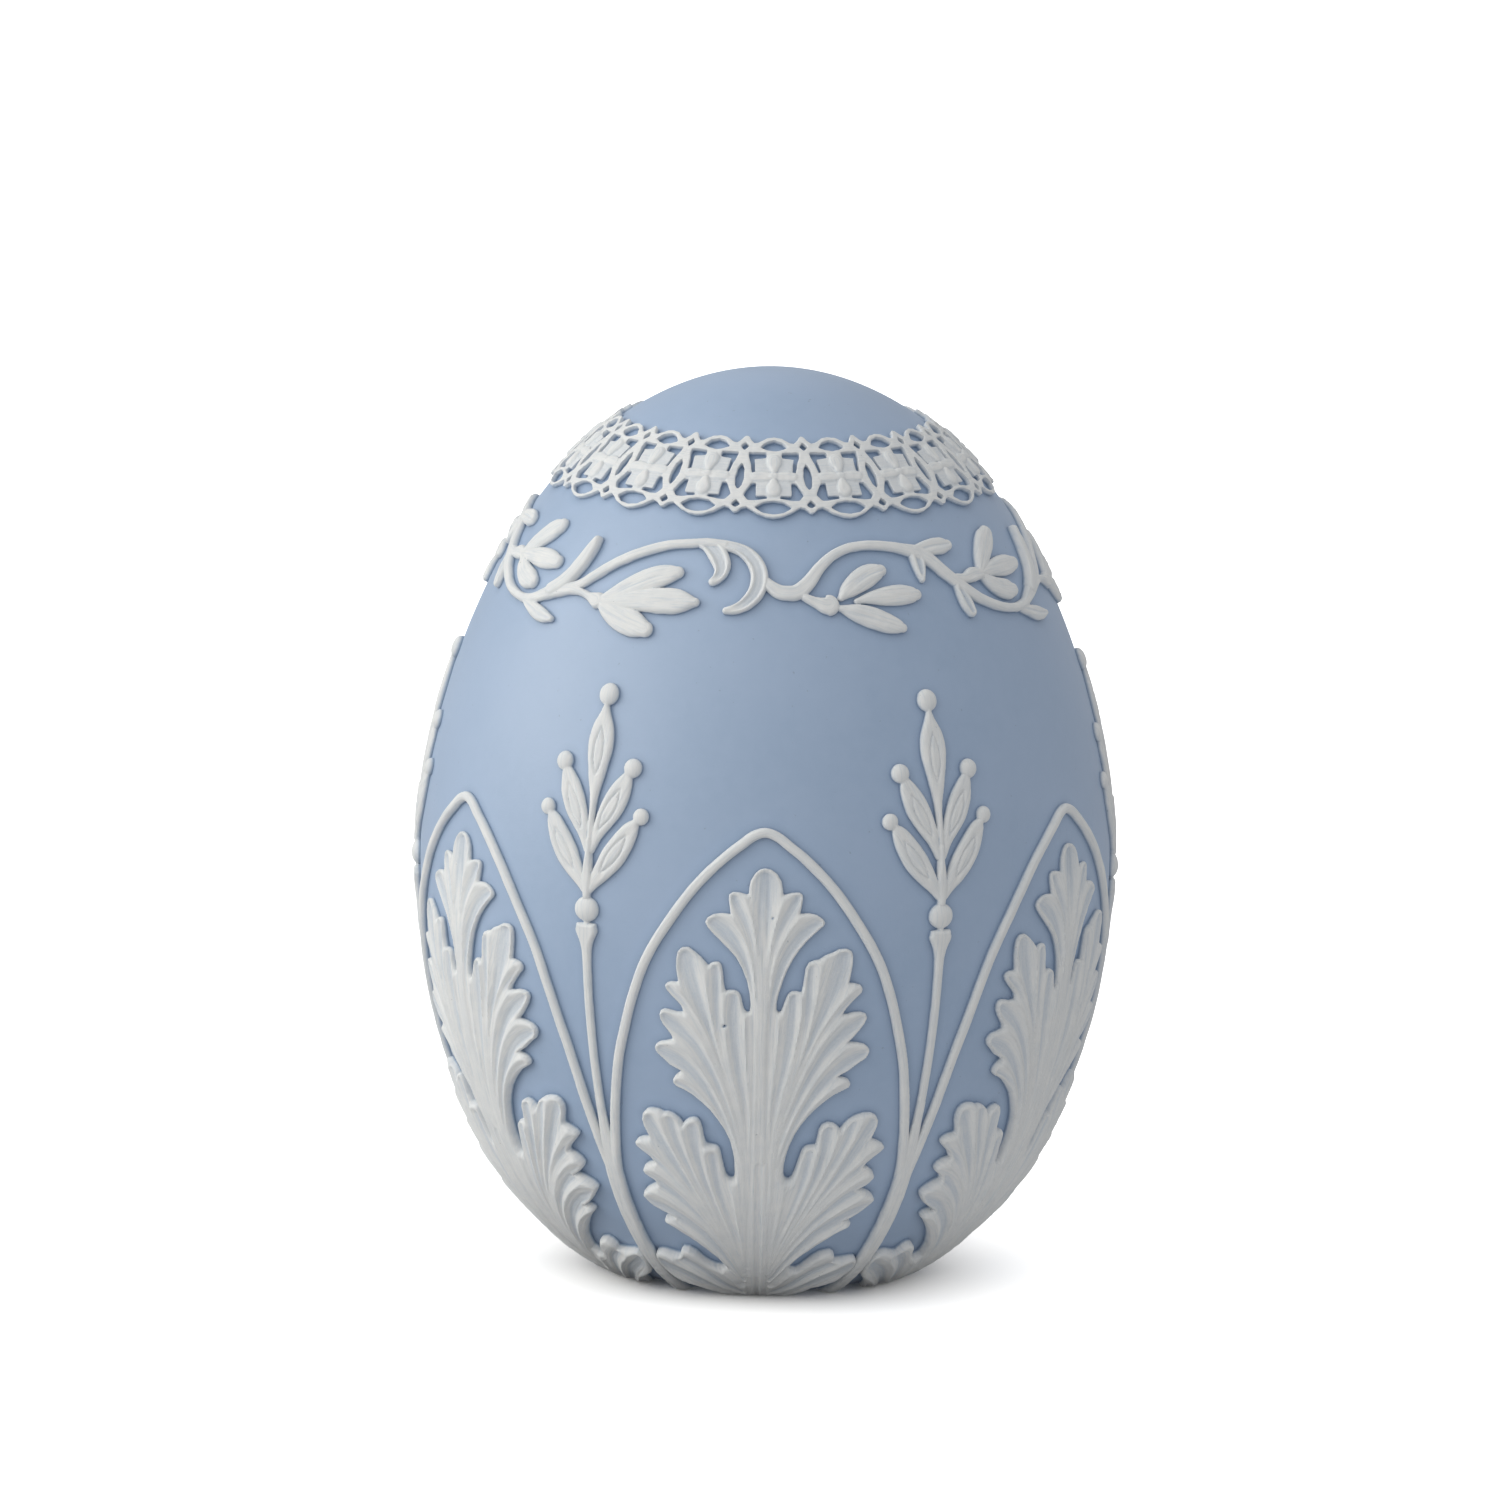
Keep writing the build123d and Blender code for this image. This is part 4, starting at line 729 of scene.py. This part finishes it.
def leaf_field(P, k):
    global _fing
    if _fing is None:
        _fing = leaf_fingers()
    z = zy(P[:, 1])
    poly = cm(LEAF)
    din = near_poly(P, k, poly)
    din = din + seg_noise(P, 0.05, 2.4, 3)
    n = len(P)
    q1 = np.full(n, BIG)
    q2 = np.full(n, BIG)
    s1 = np.zeros(n)
    t1 = np.zeros(n)
    w1 = np.ones(n)
    f1 = np.zeros(n)
    id1 = np.zeros(n)
    for i, (line, hw) in enumerate(_fing):
        d, t, s, w, f = near_path(P, k, line, 14.0)
        q = d / w
        a = q < q1
        q2 = np.where(a, q1, np.minimum(q2, q))
        s1 = np.where(a, s, s1)
        t1 = np.where(a, t, t1)
        w1 = np.where(a, w, w1)
        f1 = np.where(a, f, f1)
        id1 = np.where(a, i, id1)
        q1 = np.where(a, q, q1)
    ht = np.interp(z, [a for a, b in LEAF_HT], [b for a, b in LEAF_HT])
    span = (q1 + q2) / 2 * w1                            # half spacing of the flutes, mm
    e = (q2 - q1) / 2 * w1                               # mm to the ridge between two flutes
    xr = np.clip(q1 / np.maximum((q1 + q2) / 2, 0.2), 0, 1)
    span = np.minimum(span, din * 1.1 + 0.6)
    deep = np.clip(0.46 * span, 0.0, LEAF_DISH) * smooth01(span, 0.12, 0.6)
    dish = 0.5 + 0.5 * np.cos(math.pi * xr)
    ridge = np.exp(-(e / 0.35) ** 2)
    edge = dome(din / 1.25)
    inn = smooth01(din, 0.05, 0.95)
    xs = np.clip(t1 / np.maximum(span, 0.3), -1.2, 1.2)
    sub = np.cos(4 * math.pi * xs + 0.8 * np.sin(id1 * 2.1)) * smooth01(span, 0.8, 1.5) * smooth01(s1, 0.5, 4.0)
    h = ht * (0.45 + 0.55 * edge)
    h = h - inn * deep * dish + LEAF_RIDGE * ridge * inn * smooth01(span, 0.2, 0.9) + 0.05 * sub * inn
    # painted shade: the flute valleys and the fine flutes are tinted towards blue-grey in colour, with some bare blue
    # ground
    cav = (dish ** 1.5 * 0.44 * smooth01(deep, 0.1, 0.5) + 0.10 * (0.5 - 0.5 * sub)) * inn
    # midrib: a raised band of fine parallel ridges
    xm = P[:, 0] * k
    hwm = np.interp(z, [0, 8, 18, 30, 60, 80, 97], [1.7, 1.9, 2.0, 1.6, 1.25, 0.9, 0.2])
    rib = smooth01(np.abs(xm), hwm + 0.3, hwm - 0.3) * smooth01(z, 93, 80)
    lines = np.cos(xm * 2 * math.pi / 0.95 + 0.6)
    hr = ht + 0.08 + 0.035 * lines - 0.10 * (xm / np.maximum(hwm, 0.5)) ** 2
    h = h * (1 - rib) + np.minimum(hr, h + 0.5) * rib
    side = gauss(np.abs(xm) - hwm - 0.15, 0.32) * smooth01(z, 93, 80)
    h = h - 0.08 * side * inn
    # painted shade in the grooves of the midrib and beside it, tinted in colour
    cav = cav * (1 - rib) + np.maximum(0, -lines) * 0.15 * rib
    cav = np.maximum(cav, side * 0.14)
    # brush and carving marks along the flutes
    marks = vnoise(t1 / 0.55 + id1 * 7.3, s1 / 9.0, 21) * 0.045 + vnoise(t1 / 1.1 + id1 * 3.1, s1 / 14.0, 22) * 0.06
    h = h + marks * inn + seg_noise(P, 0.04, 1.6, 4)
    # pinholes: dug into the height, and their inside darkened in colour (cav) as painted shade
    for th, zc, rp, dp in PITS:
        hx = cm([(th, zc)])[0]
        hd = np.hypot(P[:, 0] - hx[0], P[:, 1] - hx[1]) * k
        h = h - dp * gauss(hd, rp)
        cav = cav + (2.5 if dp > 1 else 1.2) * gauss(hd, rp * 0.87)
    h = np.maximum(h, 0.25 + 0.12 * ht)
    flow = np.stack([s1 + id1 * 31.0, t1, id1], -1)
    return din, h, cav, flow


# ---------------------------------------------------------------- lace collar
def lace_field(P, k):
    """One flower unit spans 20 degrees; the shape mirrors at each flower and each node."""
    thd = np.degrees(P[:, 0] / R0)
    u = (thd + 10.0) % 20.0 - 10.0
    F = np.stack([R0 * np.radians(np.abs(u)), P[:, 1]], -1)
    Yt = np.interp(np.abs(u), [a for a, b in LACE_TOP], [b for a, b in LACE_TOP])
    Yb = np.interp(np.abs(u), [a for a, b in LACE_BOT], [b for a, b in LACE_BOT])
    sd = np.minimum((yz(Yt) - P[:, 1]) * k, (P[:, 1] - yz(Yb)) * k) * 0.93
    for hole in LACE_HOLES:
        sd = np.minimum(sd, -near_poly(F, k, spline_loop(cm(hole)), 4.0))
    st = Stack(F, k, 0.12)
    z = zy(P[:, 1])
    plate = smooth01(np.abs(u), 6.4, 6.0) * smooth01(z, 168.5, 168.9) * smooth01(z, 176.2, 175.8)
    h = LACE_BASE - 0.30 + 0.30 * dome(sd / 0.42) - 0.22 * plate
    # the recessed plate and the edges are tinted towards blue (cav): blue ground and painted shade
    cavp = np.maximum(0.30 * plate, smooth01(sd, 0.18, 0.0) * 0.25)
    st.add(sd, h, cavp, P[:, 0] * k + 11.0, P[:, 1] * k, 0)
    for j, (pts, top) in enumerate(LACE_PETALS):
        a = np.asarray(pts, float)
        line = spline(np.column_stack([cm(a[:, :2]), a[:, 2] / 2]), 4)
        d, t, s, w, f = near_path(F, k, line, 5.0)
        sp = w - d
        hp = LACE_BASE - 0.20 + (top - LACE_BASE + 0.20) * dome(sp / (w * 0.8))
        # petal edges tinted towards blue (cav): blue ground and painted shade
        st.add(np.minimum(sp, sd + 0.2), hp, 0.35 * smooth01(sp, 0.28, 0.0), s + 9.0 * j, t, j + 1)
    sd2, h, cav, flow = st.done()
    h = h + seg_noise(P, 0.05, 1.3, 12)
    return sd2 - LACE_THIN + seg_noise(P, 0.05, 1.7, 13), np.maximum(h, 0.3), cav, flow


def spline_loop(p, per=3):
    """Rounds a traced opening a little: each corner is cut by a short arc."""
    out = []
    n = len(p)
    for i in range(n):
        a, b, c = p[i - 1], p[i], p[(i + 1) % n]
        la, lc = np.hypot(*(a - b)), np.hypot(*(c - b))
        ra, rc = min(0.45, 0.4 * la) / la, min(0.45, 0.4 * lc) / lc
        p0, p2 = b + (a - b) * ra, b + (c - b) * rc
        for t in np.linspace(0, 1, per):
            out.append((1 - t) ** 2 * p0 + 2 * t * (1 - t) * b + t * t * p2)
    return np.array(out)


# ------------------------------------------------------------------ lathe pieces
def lathe(name, prof, nseg, wob=None, sharp=40.0):
    """Surface of revolution. prof: (r, z) mm points, r = 0 makes a pole; the loop closes on itself only when neither
    end is a pole.
    """
    verts, rings = [], []
    ang = np.arange(nseg) * 2 * math.pi / nseg
    for r, z in prof:
        if r <= 1e-6:
            rings.append((len(verts), 1))
            verts.append((0.0, 0.0, z * 0.001))
        else:
            rings.append((len(verts), nseg))
            rr = r + (wob(ang, z, r) if wob is not None else 0.0)
            for a, q in zip(ang, np.broadcast_to(rr, ang.shape)):
                verts.append((q * math.sin(a) * 0.001, -q * math.cos(a) * 0.001, z * 0.001))
    faces = {3: [], 4: []}
    n = len(prof)
    closed = rings[0][1] > 1 and rings[-1][1] > 1
    i = np.arange(nseg)
    j = (i + 1) % nseg
    for a in range(n if closed else n - 1):
        b = (a + 1) % n
        (ra, ca), (rb_, cb) = rings[a], rings[b]
        if ca == 1 and cb == 1:
            continue
        if ca == 1:
            faces[3].append(np.stack([np.full(nseg, ra), rb_ + j, rb_ + i], -1))
        elif cb == 1:
            faces[3].append(np.stack([ra + i, ra + j, np.full(nseg, rb_)], -1))
        else:
            faces[4].append(np.stack([ra + i, ra + j, rb_ + j, rb_ + i], -1))
    return mesh_from(name, np.array(verts), faces, sharp=sharp)


# ------------------------------------------------------------------ materials
def tree(name):
    m = bpy.data.materials.new(name)
    m.use_nodes = True
    nt = m.node_tree
    nt.nodes.clear()
    out = nt.nodes.new("ShaderNodeOutputMaterial")
    bs = nt.nodes.new("ShaderNodeBsdfPrincipled")
    nt.links.new(bs.outputs["BSDF"], out.inputs["Surface"])
    return m, nt, bs


def node(nt, kind, **kw):
    n = nt.nodes.new(kind)
    for a, v in kw.items():
        if a in n.inputs:
            n.inputs[a].default_value = v
        else:
            setattr(n, a, v)
    return n


def mixc(nt, fac, a, b, mode="MIX"):
    n = nt.nodes.new("ShaderNodeMix")
    n.data_type = "RGBA"
    n.blend_type = mode
    for sock, v in ((n.inputs[0], fac), (n.inputs[6], a), (n.inputs[7], b)):
        if hasattr(v, "is_linked") or hasattr(v, "links"):
            nt.links.new(v, sock)
        elif isinstance(v, (tuple, list)):
            sock.default_value = (*v, 1.0) if len(v) == 3 else v
        else:
            sock.default_value = v
    return n.outputs[2]


def math_(nt, op, a, b=None, c=None, clamp=False):
    n = nt.nodes.new("ShaderNodeMath")
    n.operation = op
    n.use_clamp = clamp
    for sock, v in zip(n.inputs, (a, b, c)):
        if v is None:
            continue
        if hasattr(v, "links"):
            nt.links.new(v, sock)
        else:
            sock.default_value = v
    return n.outputs[0]


def ramp(nt, src, lo, hi, a=0.0, b=1.0):
    n = nt.nodes.new("ShaderNodeMapRange")
    nt.links.new(src, n.inputs[0])
    n.inputs[1].default_value = lo
    n.inputs[2].default_value = hi
    n.inputs[3].default_value = a
    n.inputs[4].default_value = b
    n.clamp = True
    return n.outputs[0]


def noise(nt, vec, scale, detail=3.0, rough=0.55, dist=0.0):
    n = nt.nodes.new("ShaderNodeTexNoise")
    n.inputs["Scale"].default_value = scale
    n.inputs["Detail"].default_value = detail
    n.inputs["Roughness"].default_value = rough
    n.inputs["Distortion"].default_value = dist
    if vec is not None:
        nt.links.new(vec, n.inputs["Vector"])
    return n.outputs[0]


def mm_coords(nt):
    t = nt.nodes.new("ShaderNodeTexCoord")
    s = nt.nodes.new("ShaderNodeVectorMath")
    s.operation = "SCALE"
    s.inputs[3].default_value = 1000.0
    nt.links.new(t.outputs["Object"], s.inputs[0])
    return s.outputs[0]


def stretch(nt, vec, sc):
    s = nt.nodes.new("ShaderNodeVectorMath")
    s.operation = "MULTIPLY"
    s.inputs[1].default_value = sc
    nt.links.new(vec, s.inputs[0])
    return s.outputs[0]


def bump(nt, height, strength, dist, prev=None):
    b = nt.nodes.new("ShaderNodeBump")
    b.inputs["Strength"].default_value = strength
    b.inputs["Distance"].default_value = dist
    nt.links.new(height, b.inputs["Height"])
    if prev is not None:
        nt.links.new(prev, b.inputs["Normal"])
    return b.outputs[0]


def blue_material():
    m, nt, bs = tree("blue_shell_matte")
    v = mm_coords(nt)
    big = noise(nt, v, 0.035, 3.0, 0.6)
    mid = noise(nt, v, 0.35, 4.0, 0.6)
    fine = noise(nt, v, 2.6, 3.0, 0.6)
    pit = noise(nt, v, 0.9, 2.0, 0.5)
    col = mixc(nt, ramp(nt, big, 0.35, 0.65), BLUE_A, BLUE_B)
    col = mixc(nt, ramp(nt, mid, 0.35, 0.68, 0.0, 0.45), col, BLUE_C)
    col = mixc(nt, ramp(nt, fine, 0.62, 0.80, 0.0, 0.35), col, BLUE_D)
    spk = ramp(nt, pit, 0.75, 0.77)
    col = mixc(nt, math_(nt, "MULTIPLY", spk, 0.45), col, (0.20, 0.27, 0.38))
    # painted shade: the shell's colour is darkened close to where the sprigs meet it, by an ambient-occlusion node
    # reaching about 2 mm
    ao = nt.nodes.new("ShaderNodeAmbientOcclusion")
    ao.samples = 6
    ao.inputs["Distance"].default_value = PAINTED_SHADE_REACH
    col = mixc(nt, ramp(nt, ao.outputs["AO"], 0.45, 0.97, PAINTED_EDGE_SHADE, 0.0), col, (0.17, 0.245, 0.37))
    nt.links.new(col, bs.inputs["Base Color"])
    nt.links.new(ramp(nt, mid, 0.3, 0.7, BLUE_ROUGH - 0.04, BLUE_ROUGH + 0.04), bs.inputs["Roughness"])
    bs.inputs["Specular IOR Level"].default_value = BLUE_SPEC
    bs.inputs["Sheen Weight"].default_value = BLUE_SHEEN
    bs.inputs["Sheen Roughness"].default_value = 0.5
    n1 = bump(nt, mid, 0.10, 0.0006)
    n2 = bump(nt, fine, 0.16, 0.00016, n1)
    inv = math_(nt, "SUBTRACT", 1.0, spk)
    n3 = bump(nt, inv, 0.35, 0.0003, n2)
    nt.links.new(n3, bs.inputs["Normal"])
    return m


def white_material():
    m, nt, bs = tree("white_relief_brushed")
    v = mm_coords(nt)
    fa = nt.nodes.new("ShaderNodeAttribute")
    fa.attribute_name = "flow"
    ca = nt.nodes.new("ShaderNodeAttribute")
    ca.attribute_name = "cav"
    ha = nt.nodes.new("ShaderNodeAttribute")
    ha.attribute_name = "hgt"
    st = stretch(nt, fa.outputs["Vector"], (0.16, 2.4, 1.0))
    streak = noise(nt, st, 1.0, 3.0, 0.6, 0.3)
    st2 = stretch(nt, fa.outputs["Vector"], (0.45, 5.0, 1.0))
    streak2 = noise(nt, st2, 1.0, 2.0, 0.6, 0.2)
    blot = noise(nt, v, 0.22, 3.0, 0.6)
    fine = noise(nt, v, 2.2, 3.0, 0.6)
    pit = noise(nt, v, 1.5, 1.0, 0.5)
    col = mixc(nt, ramp(nt, blot, 0.35, 0.65), WHITE_A, WHITE_B)
    col = mixc(nt, ramp(nt, streak, 0.48, 0.71, 0.0, 0.65), col, WHITE_C)
    col = mixc(nt, ramp(nt, streak2, 0.60, 0.80, 0.0, 0.35), col, WHITE_D)
    # cav mixes the white towards blue: partly blue ground left bare in recesses, partly painted shade in creases,
    # grooves and flute valleys
    cav = math_(nt, "MULTIPLY", ca.outputs["Fac"], ramp(nt, fine, 0.2, 0.8, 0.75, 1.15), clamp=True)
    col = mixc(nt, ramp(nt, cav, 0.15, 0.95, 0.0, 0.85), col, CREVICE_BLUE_AND_SHADE)
    # painted shade: the lower part of each relief wall is tinted a blue darker than the shell, partly the blue ground
    # left bare at the wall foot
    low = ramp(nt, ha.outputs["Fac"], WALL_SHADE_TOP, 0.10, 0.0, 0.9)
    col = mixc(nt, low, col, WALL_BLUE_AND_SHADE)
    # painted shade: near-black inside the deep pinholes
    col = mixc(nt, ramp(nt, ca.outputs["Fac"], 1.2, 1.9, 0.0, 0.9), col, (0.10, 0.12, 0.15))
    spk = ramp(nt, pit, 0.80, 0.83)
    col = mixc(nt, math_(nt, "MULTIPLY", spk, 0.5), col, (0.22, 0.26, 0.30))
    nt.links.new(col, bs.inputs["Base Color"])
    nt.links.new(ramp(nt, streak, 0.3, 0.7, 0.50, 0.66), bs.inputs["Roughness"])
    bs.inputs["Specular IOR Level"].default_value = 0.22
    n1 = bump(nt, streak, 0.35, 0.00022)
    n2 = bump(nt, streak2, 0.22, 0.00012, n1)
    n3 = bump(nt, fine, 0.25, 0.00012, n2)
    inv = math_(nt, "SUBTRACT", 1.0, spk)
    n4 = bump(nt, inv, 0.5, 0.0003, n3)
    nt.links.new(n4, bs.inputs["Normal"])
    return m


def rubber_material():
    m, nt, bs = tree("stopper_rubber")
    v = mm_coords(nt)
    a = noise(nt, v, 0.5, 3.0, 0.6)
    b = noise(nt, v, 3.0, 3.0, 0.6)
    col = mixc(nt, ramp(nt, a, 0.35, 0.65), (0.70, 0.68, 0.62), (0.60, 0.58, 0.53))
    col = mixc(nt, ramp(nt, b, 0.6, 0.8, 0.0, 0.3), col, (0.42, 0.41, 0.39))
    nt.links.new(col, bs.inputs["Base Color"])
    nt.links.new(ramp(nt, a, 0.3, 0.7, 0.55, 0.7), bs.inputs["Roughness"])
    nt.links.new(bump(nt, b, 0.3, 0.0001), bs.inputs["Normal"])
    return m


BLUE_A, BLUE_B = (0.352, 0.468, 0.655), (0.327, 0.445, 0.630)
BLUE_C, BLUE_D = (0.369, 0.485, 0.668), (0.307, 0.418, 0.595)
WHITE_A, WHITE_B = (0.825, 0.835, 0.835), (0.775, 0.795, 0.81)
# darker blue at the wall feet: blue ground plus painted shade
WALL_BLUE_AND_SHADE = (0.25, 0.34, 0.47)
WHITE_C, WHITE_D = (0.645, 0.70, 0.75), (0.59, 0.655, 0.725)
# blue of the bare ground in recesses, also used as painted shade there
CREVICE_BLUE_AND_SHADE = (0.36, 0.47, 0.62)
MAT_BLUE = blue_material()
MAT_WHITE = white_material()
MAT_RUBBER = rubber_material()

# ------------------------------------------------------------------ build pieces

for nm, fld, (xa, xb), (za, zb), step, placeat, slotname in (
    ("arch_frame", arch_field, (-31.5, 31.5), (27.5, 107.5), 0.30, [60 * i for i in range(6)], None),
    ("bud_spray", spray_field, (-11.5, 11.5), (0.1, 134.0), 0.26, [30 + 60 * i for i in range(6)], None),
    ("vine_scroll", vine_field(VINE_A, -30.0), (-31.5, 33.0), (139.0, 164.5), 0.26, [-30 + 120 * i for i in range(3)], None),
    ("vine_flower", vine_field(VINE_B, 33.0), (-34.0, 38.5), (139.5, 164.5), 0.26, [33 + 120 * i for i in range(3)], None),
    ("acanthus_leaf", leaf_field, (-30.5, 30.5), (0.1, 99.5), 0.32, [60 * i for i in range(6)], None),
    ("lace_band", lace_field, (-30.0, 30.0), (162.5, 181.5), 0.34, [0.4 + 60 * i for i in range(6)], None),
):
    g = step * 1.0
    if nm == "lace_band":
        # each section's ends stand a hair inside its 60 degree share
        base = lace_field

        def fld(P, k, base=base):
            sd, h, c, f = base(P, k)
            lim = (R0 * math.radians(29.99) - np.abs(P[:, 0])) * k
            return np.minimum(sd, lim), h, c, f
        xa, xb = -31.0, 31.0
    me = relief(nm, fld, xa, xb, za, zb, g, zmin=0.36)
    if nm == "acanthus_leaf":
        # the front leaf has two pinholes that the others lack
        PITS[:] = [(-6.1, 64.8, 0.30, 1.3), (1.5, 87.4, 0.22, 0.5)]
        show(relief(nm + "_front", fld, xa, xb, za, zb, g, zmin=0.36), nm + "_1", MAT_WHITE, placeat[0])
    for i, a in enumerate(placeat):
        if nm == "acanthus_leaf" and i == 0:
            continue
        show(me, "%s_%d" % (nm, i + 1), MAT_WHITE, a)


def body_wob(ang, z, r):
    amp = 0.10 * min(1.0, r / 40.0)
    return amp * (np.sin(3 * ang + z * 0.031) * 0.5 + np.sin(5 * ang - z * 0.047 + 1.3) * 0.3 + np.sin(2 * ang + z * 0.09 + 2.1) * 0.4) * (0.0 if z < 1.0 else 1.0)


zs = np.concatenate([np.linspace(0.9, 186, 330), 190 - 4 * np.cos(np.linspace(0, math.pi / 2, 26))[1:-1] ** 1.6])
outer = [(float(rb(0)) - 0.55, 0.0), (float(rb(0)) - 0.30, 0.06), (float(rb(0)) - 0.05, 0.28), (float(rb(0.55)), 0.55)] + [(float(rb(z)), float(z)) for z in zs] + [(0.0, 190.0)]
wall = []
for z in np.linspace(7.0, 189.0, 90):
    s = (rb(z + 0.05) - rb(z - 0.05)) / 0.1
    nrm = 1 / math.sqrt(1 + s * s)
    r, zz = rb(z) - 4.5 * nrm, z + 4.5 * s * nrm
    if zz > 6.5 and r > 1.0:
        wall.append((float(r), float(zz)))
inner = [(0.0, 185.5)] + wall[::-1] + [(wall[0][0] - 1.5, 4.9), (wall[0][0] - 3.0, 4.5), (8.9, 4.5), (8.5, 4.2), (8.5, 2.2), (11.0, 2.1), (11.0, 0.72), (11.2, 0.6), (19.6, 0.6), (19.9, 0.5), (20.05, 0.1), (20.3, 0.0)]
body = lathe("egg_body", outer[::1] + inner, 360, body_wob)
show(body, "egg_body", MAT_BLUE)

plug = [(0.0, 0.95), (2.2, 0.95), (2.5, 0.85), (2.8, 0.70), (9.9, 0.66), (10.5, 0.72), (10.85, 0.95), (10.9, 1.3), (10.85, 1.8), (10.6, 2.05), (8.6, 2.08), (8.42, 2.3), (8.42, 3.0), (8.2, 3.1), (8.2, 3.6), (8.42, 3.7),
        (8.42, 5.2), (8.1, 5.7), (7.4, 6.05), (5.0, 6.05), (4.6, 5.8), (4.4, 3.6), (0.0, 3.5)]
me = lathe("base_stopper", plug[::1], 96)
show(me, "base_stopper", MAT_RUBBER)

# ------------------------------------------------------------------ stage
fl = bpy.data.meshes.new("floor")
fl.from_pydata([(-80, -80, 0), (80, -80, 0), (80, 80, 0), (-80, 80, 0)], [], [(0, 1, 2, 3)])
floor = bpy.data.objects.new("floor", fl)
bpy.context.scene.collection.objects.link(floor)
fm, nt, bs = tree("floor_white")
bs.inputs["Base Color"].default_value = (0.9, 0.9, 0.9, 1)
bs.inputs["Roughness"].default_value = 0.9
bs.inputs["Specular IOR Level"].default_value = 0.0
bs.inputs["Emission Color"].default_value = (1, 1, 1, 1)
bs.inputs["Emission Strength"].default_value = FLOOR_GLOW
fl.materials.append(fm)
floor.visible_diffuse = False
floor.visible_glossy = False

# what the floor sends back up: less where the egg shades it
bn = bpy.data.meshes.new("floor_bounce")
bn.from_pydata([(-80, -80, -0.0004), (80, -80, -0.0004), (80, 80, -0.0004), (-80, 80, -0.0004)], [], [(0, 1, 2, 3)])
bounce = bpy.data.objects.new("floor_bounce", bn)
bpy.context.scene.collection.objects.link(bounce)
bm_ = bpy.data.materials.new("floor_bounce_glow")
bm_.use_nodes = True
nt = bm_.node_tree
nt.nodes.clear()
out = nt.nodes.new("ShaderNodeOutputMaterial")
em = nt.nodes.new("ShaderNodeEmission")
nt.links.new(em.outputs[0], out.inputs[0])
gp = nt.nodes.new("ShaderNodeNewGeometry")
ln = nt.nodes.new("ShaderNodeVectorMath")
ln.operation = "LENGTH"
nt.links.new(gp.outputs["Position"], ln.inputs[0])
nt.links.new(ramp(nt, ln.outputs["Value"], BOUNCE_IN, BOUNCE_OUT, BOUNCE_DARK, BOUNCE), em.inputs["Strength"])
bn.materials.append(bm_)
bounce.visible_camera = False

sc = bpy.context.scene
sc.view_settings.view_transform = "Standard"
sc.view_settings.look = "None"
sc.view_settings.exposure = 0.0
sc.view_settings.gamma = 1.0
w = bpy.data.worlds.new("world")
sc.world = w
w.use_nodes = True
nt = w.node_tree
bg = nt.nodes["Background"]
tc = nt.nodes.new("ShaderNodeTexCoord")
dn = nt.nodes.new("ShaderNodeVectorMath")
dn.operation = "NORMALIZE"
nt.links.new(tc.outputs["Generated"], dn.inputs[0])
dot = nt.nodes.new("ShaderNodeVectorMath")
dot.operation = "DOT_PRODUCT"
nt.links.new(dn.outputs[0], dot.inputs[0])
dot.inputs[1].default_value = Vector(KEY_DIR).normalized()
lobe = math_(nt, "MULTIPLY", math_(nt, "POWER", math_(nt, "MAXIMUM", dot.outputs["Value"], 0.0), KEY_POW), KEY_GAIN)
sep = nt.nodes.new("ShaderNodeSeparateXYZ")
nt.links.new(dn.outputs[0], sep.inputs[0])
amb = ramp(nt, sep.outputs[2], -0.35, 0.35, AMB_LOW, AMB_UP)
# a tall softbox on the left
off = math_(nt, "ABSOLUTE", math_(nt, "ADD", sep.outputs[1], STRIP_OFF))
s1 = ramp(nt, off, STRIP_IN, STRIP_OUT, 1.0, 0.0)
s2 = ramp(nt, sep.outputs[0], -0.45, -0.12, 1.0, 0.0)
s3 = math_(nt, "MULTIPLY", ramp(nt, sep.outputs[2], -0.12, 0.10, 0.0, 1.0), ramp(nt, sep.outputs[2], 0.30, 0.75, 1.0, STRIP_TOP))
strip_l = math_(nt, "MULTIPLY", math_(nt, "MULTIPLY", s1, s2), math_(nt, "MULTIPLY", s3, STRIP))
band = ramp(nt, math_(nt, "ABSOLUTE", sep.outputs[2]), 0.03, 0.05, 1.0, 0.0)
tot = math_(nt, "MAXIMUM", math_(nt, "ADD", math_(nt, "ADD", amb, lobe), strip_l), band)
nt.links.new(tot, bg.inputs[1])
# the softboxes are a little warmer than the room
share = math_(nt, "DIVIDE", math_(nt, "ADD", lobe, strip_l), tot, clamp=True)
nt.links.new(mixc(nt, share, (1.0, 1.0, 1.0), KEY_TINT), bg.inputs[0])

# an overhead softbox that lights only the floor
sun = bpy.data.lights.new("floor_light", "SUN")
sun.energy = SUN
sun.angle = math.radians(SUN_ANGLE)
so = bpy.data.objects.new("floor_light", sun)
sc.collection.objects.link(so)
so.rotation_euler = Vector(SUN_DIR).to_track_quat("-Z", "Y").to_euler()
only = bpy.data.collections.new("floor_only")
only.objects.link(floor)
so.light_linking.receiver_collection = only

# ------------------------------------------------------------------ camera
e = math.radians(10.129)
D = 2.8848
fw = Vector((0, math.cos(e), -math.sin(e)))
rt = Vector((1, 0, 0))
up = rt.cross(fw)
vd = (fw - 0.0012329 * rt + 0.0049630 * up).normalized()
cup = (-0.01984 * rt + 0.9998 * up)
cup = (cup - cup.dot(vd) * vd).normalized()
crt = vd.cross(cup).normalized()
cam = bpy.data.cameras.new("camera")
co = bpy.data.objects.new("camera", cam)
sc.collection.objects.link(co)
R = Matrix((crt, cup, -vd)).transposed().to_4x4()
co.matrix_world = Matrix.Translation(Vector((0, -D * math.cos(e), 0.095 + D * math.sin(e)))) @ R
cam.sensor_width = 36.0
cam.lens = 36.0 * 13825.4 / 1500.0
cam.clip_end = 50.0
sc.camera = co
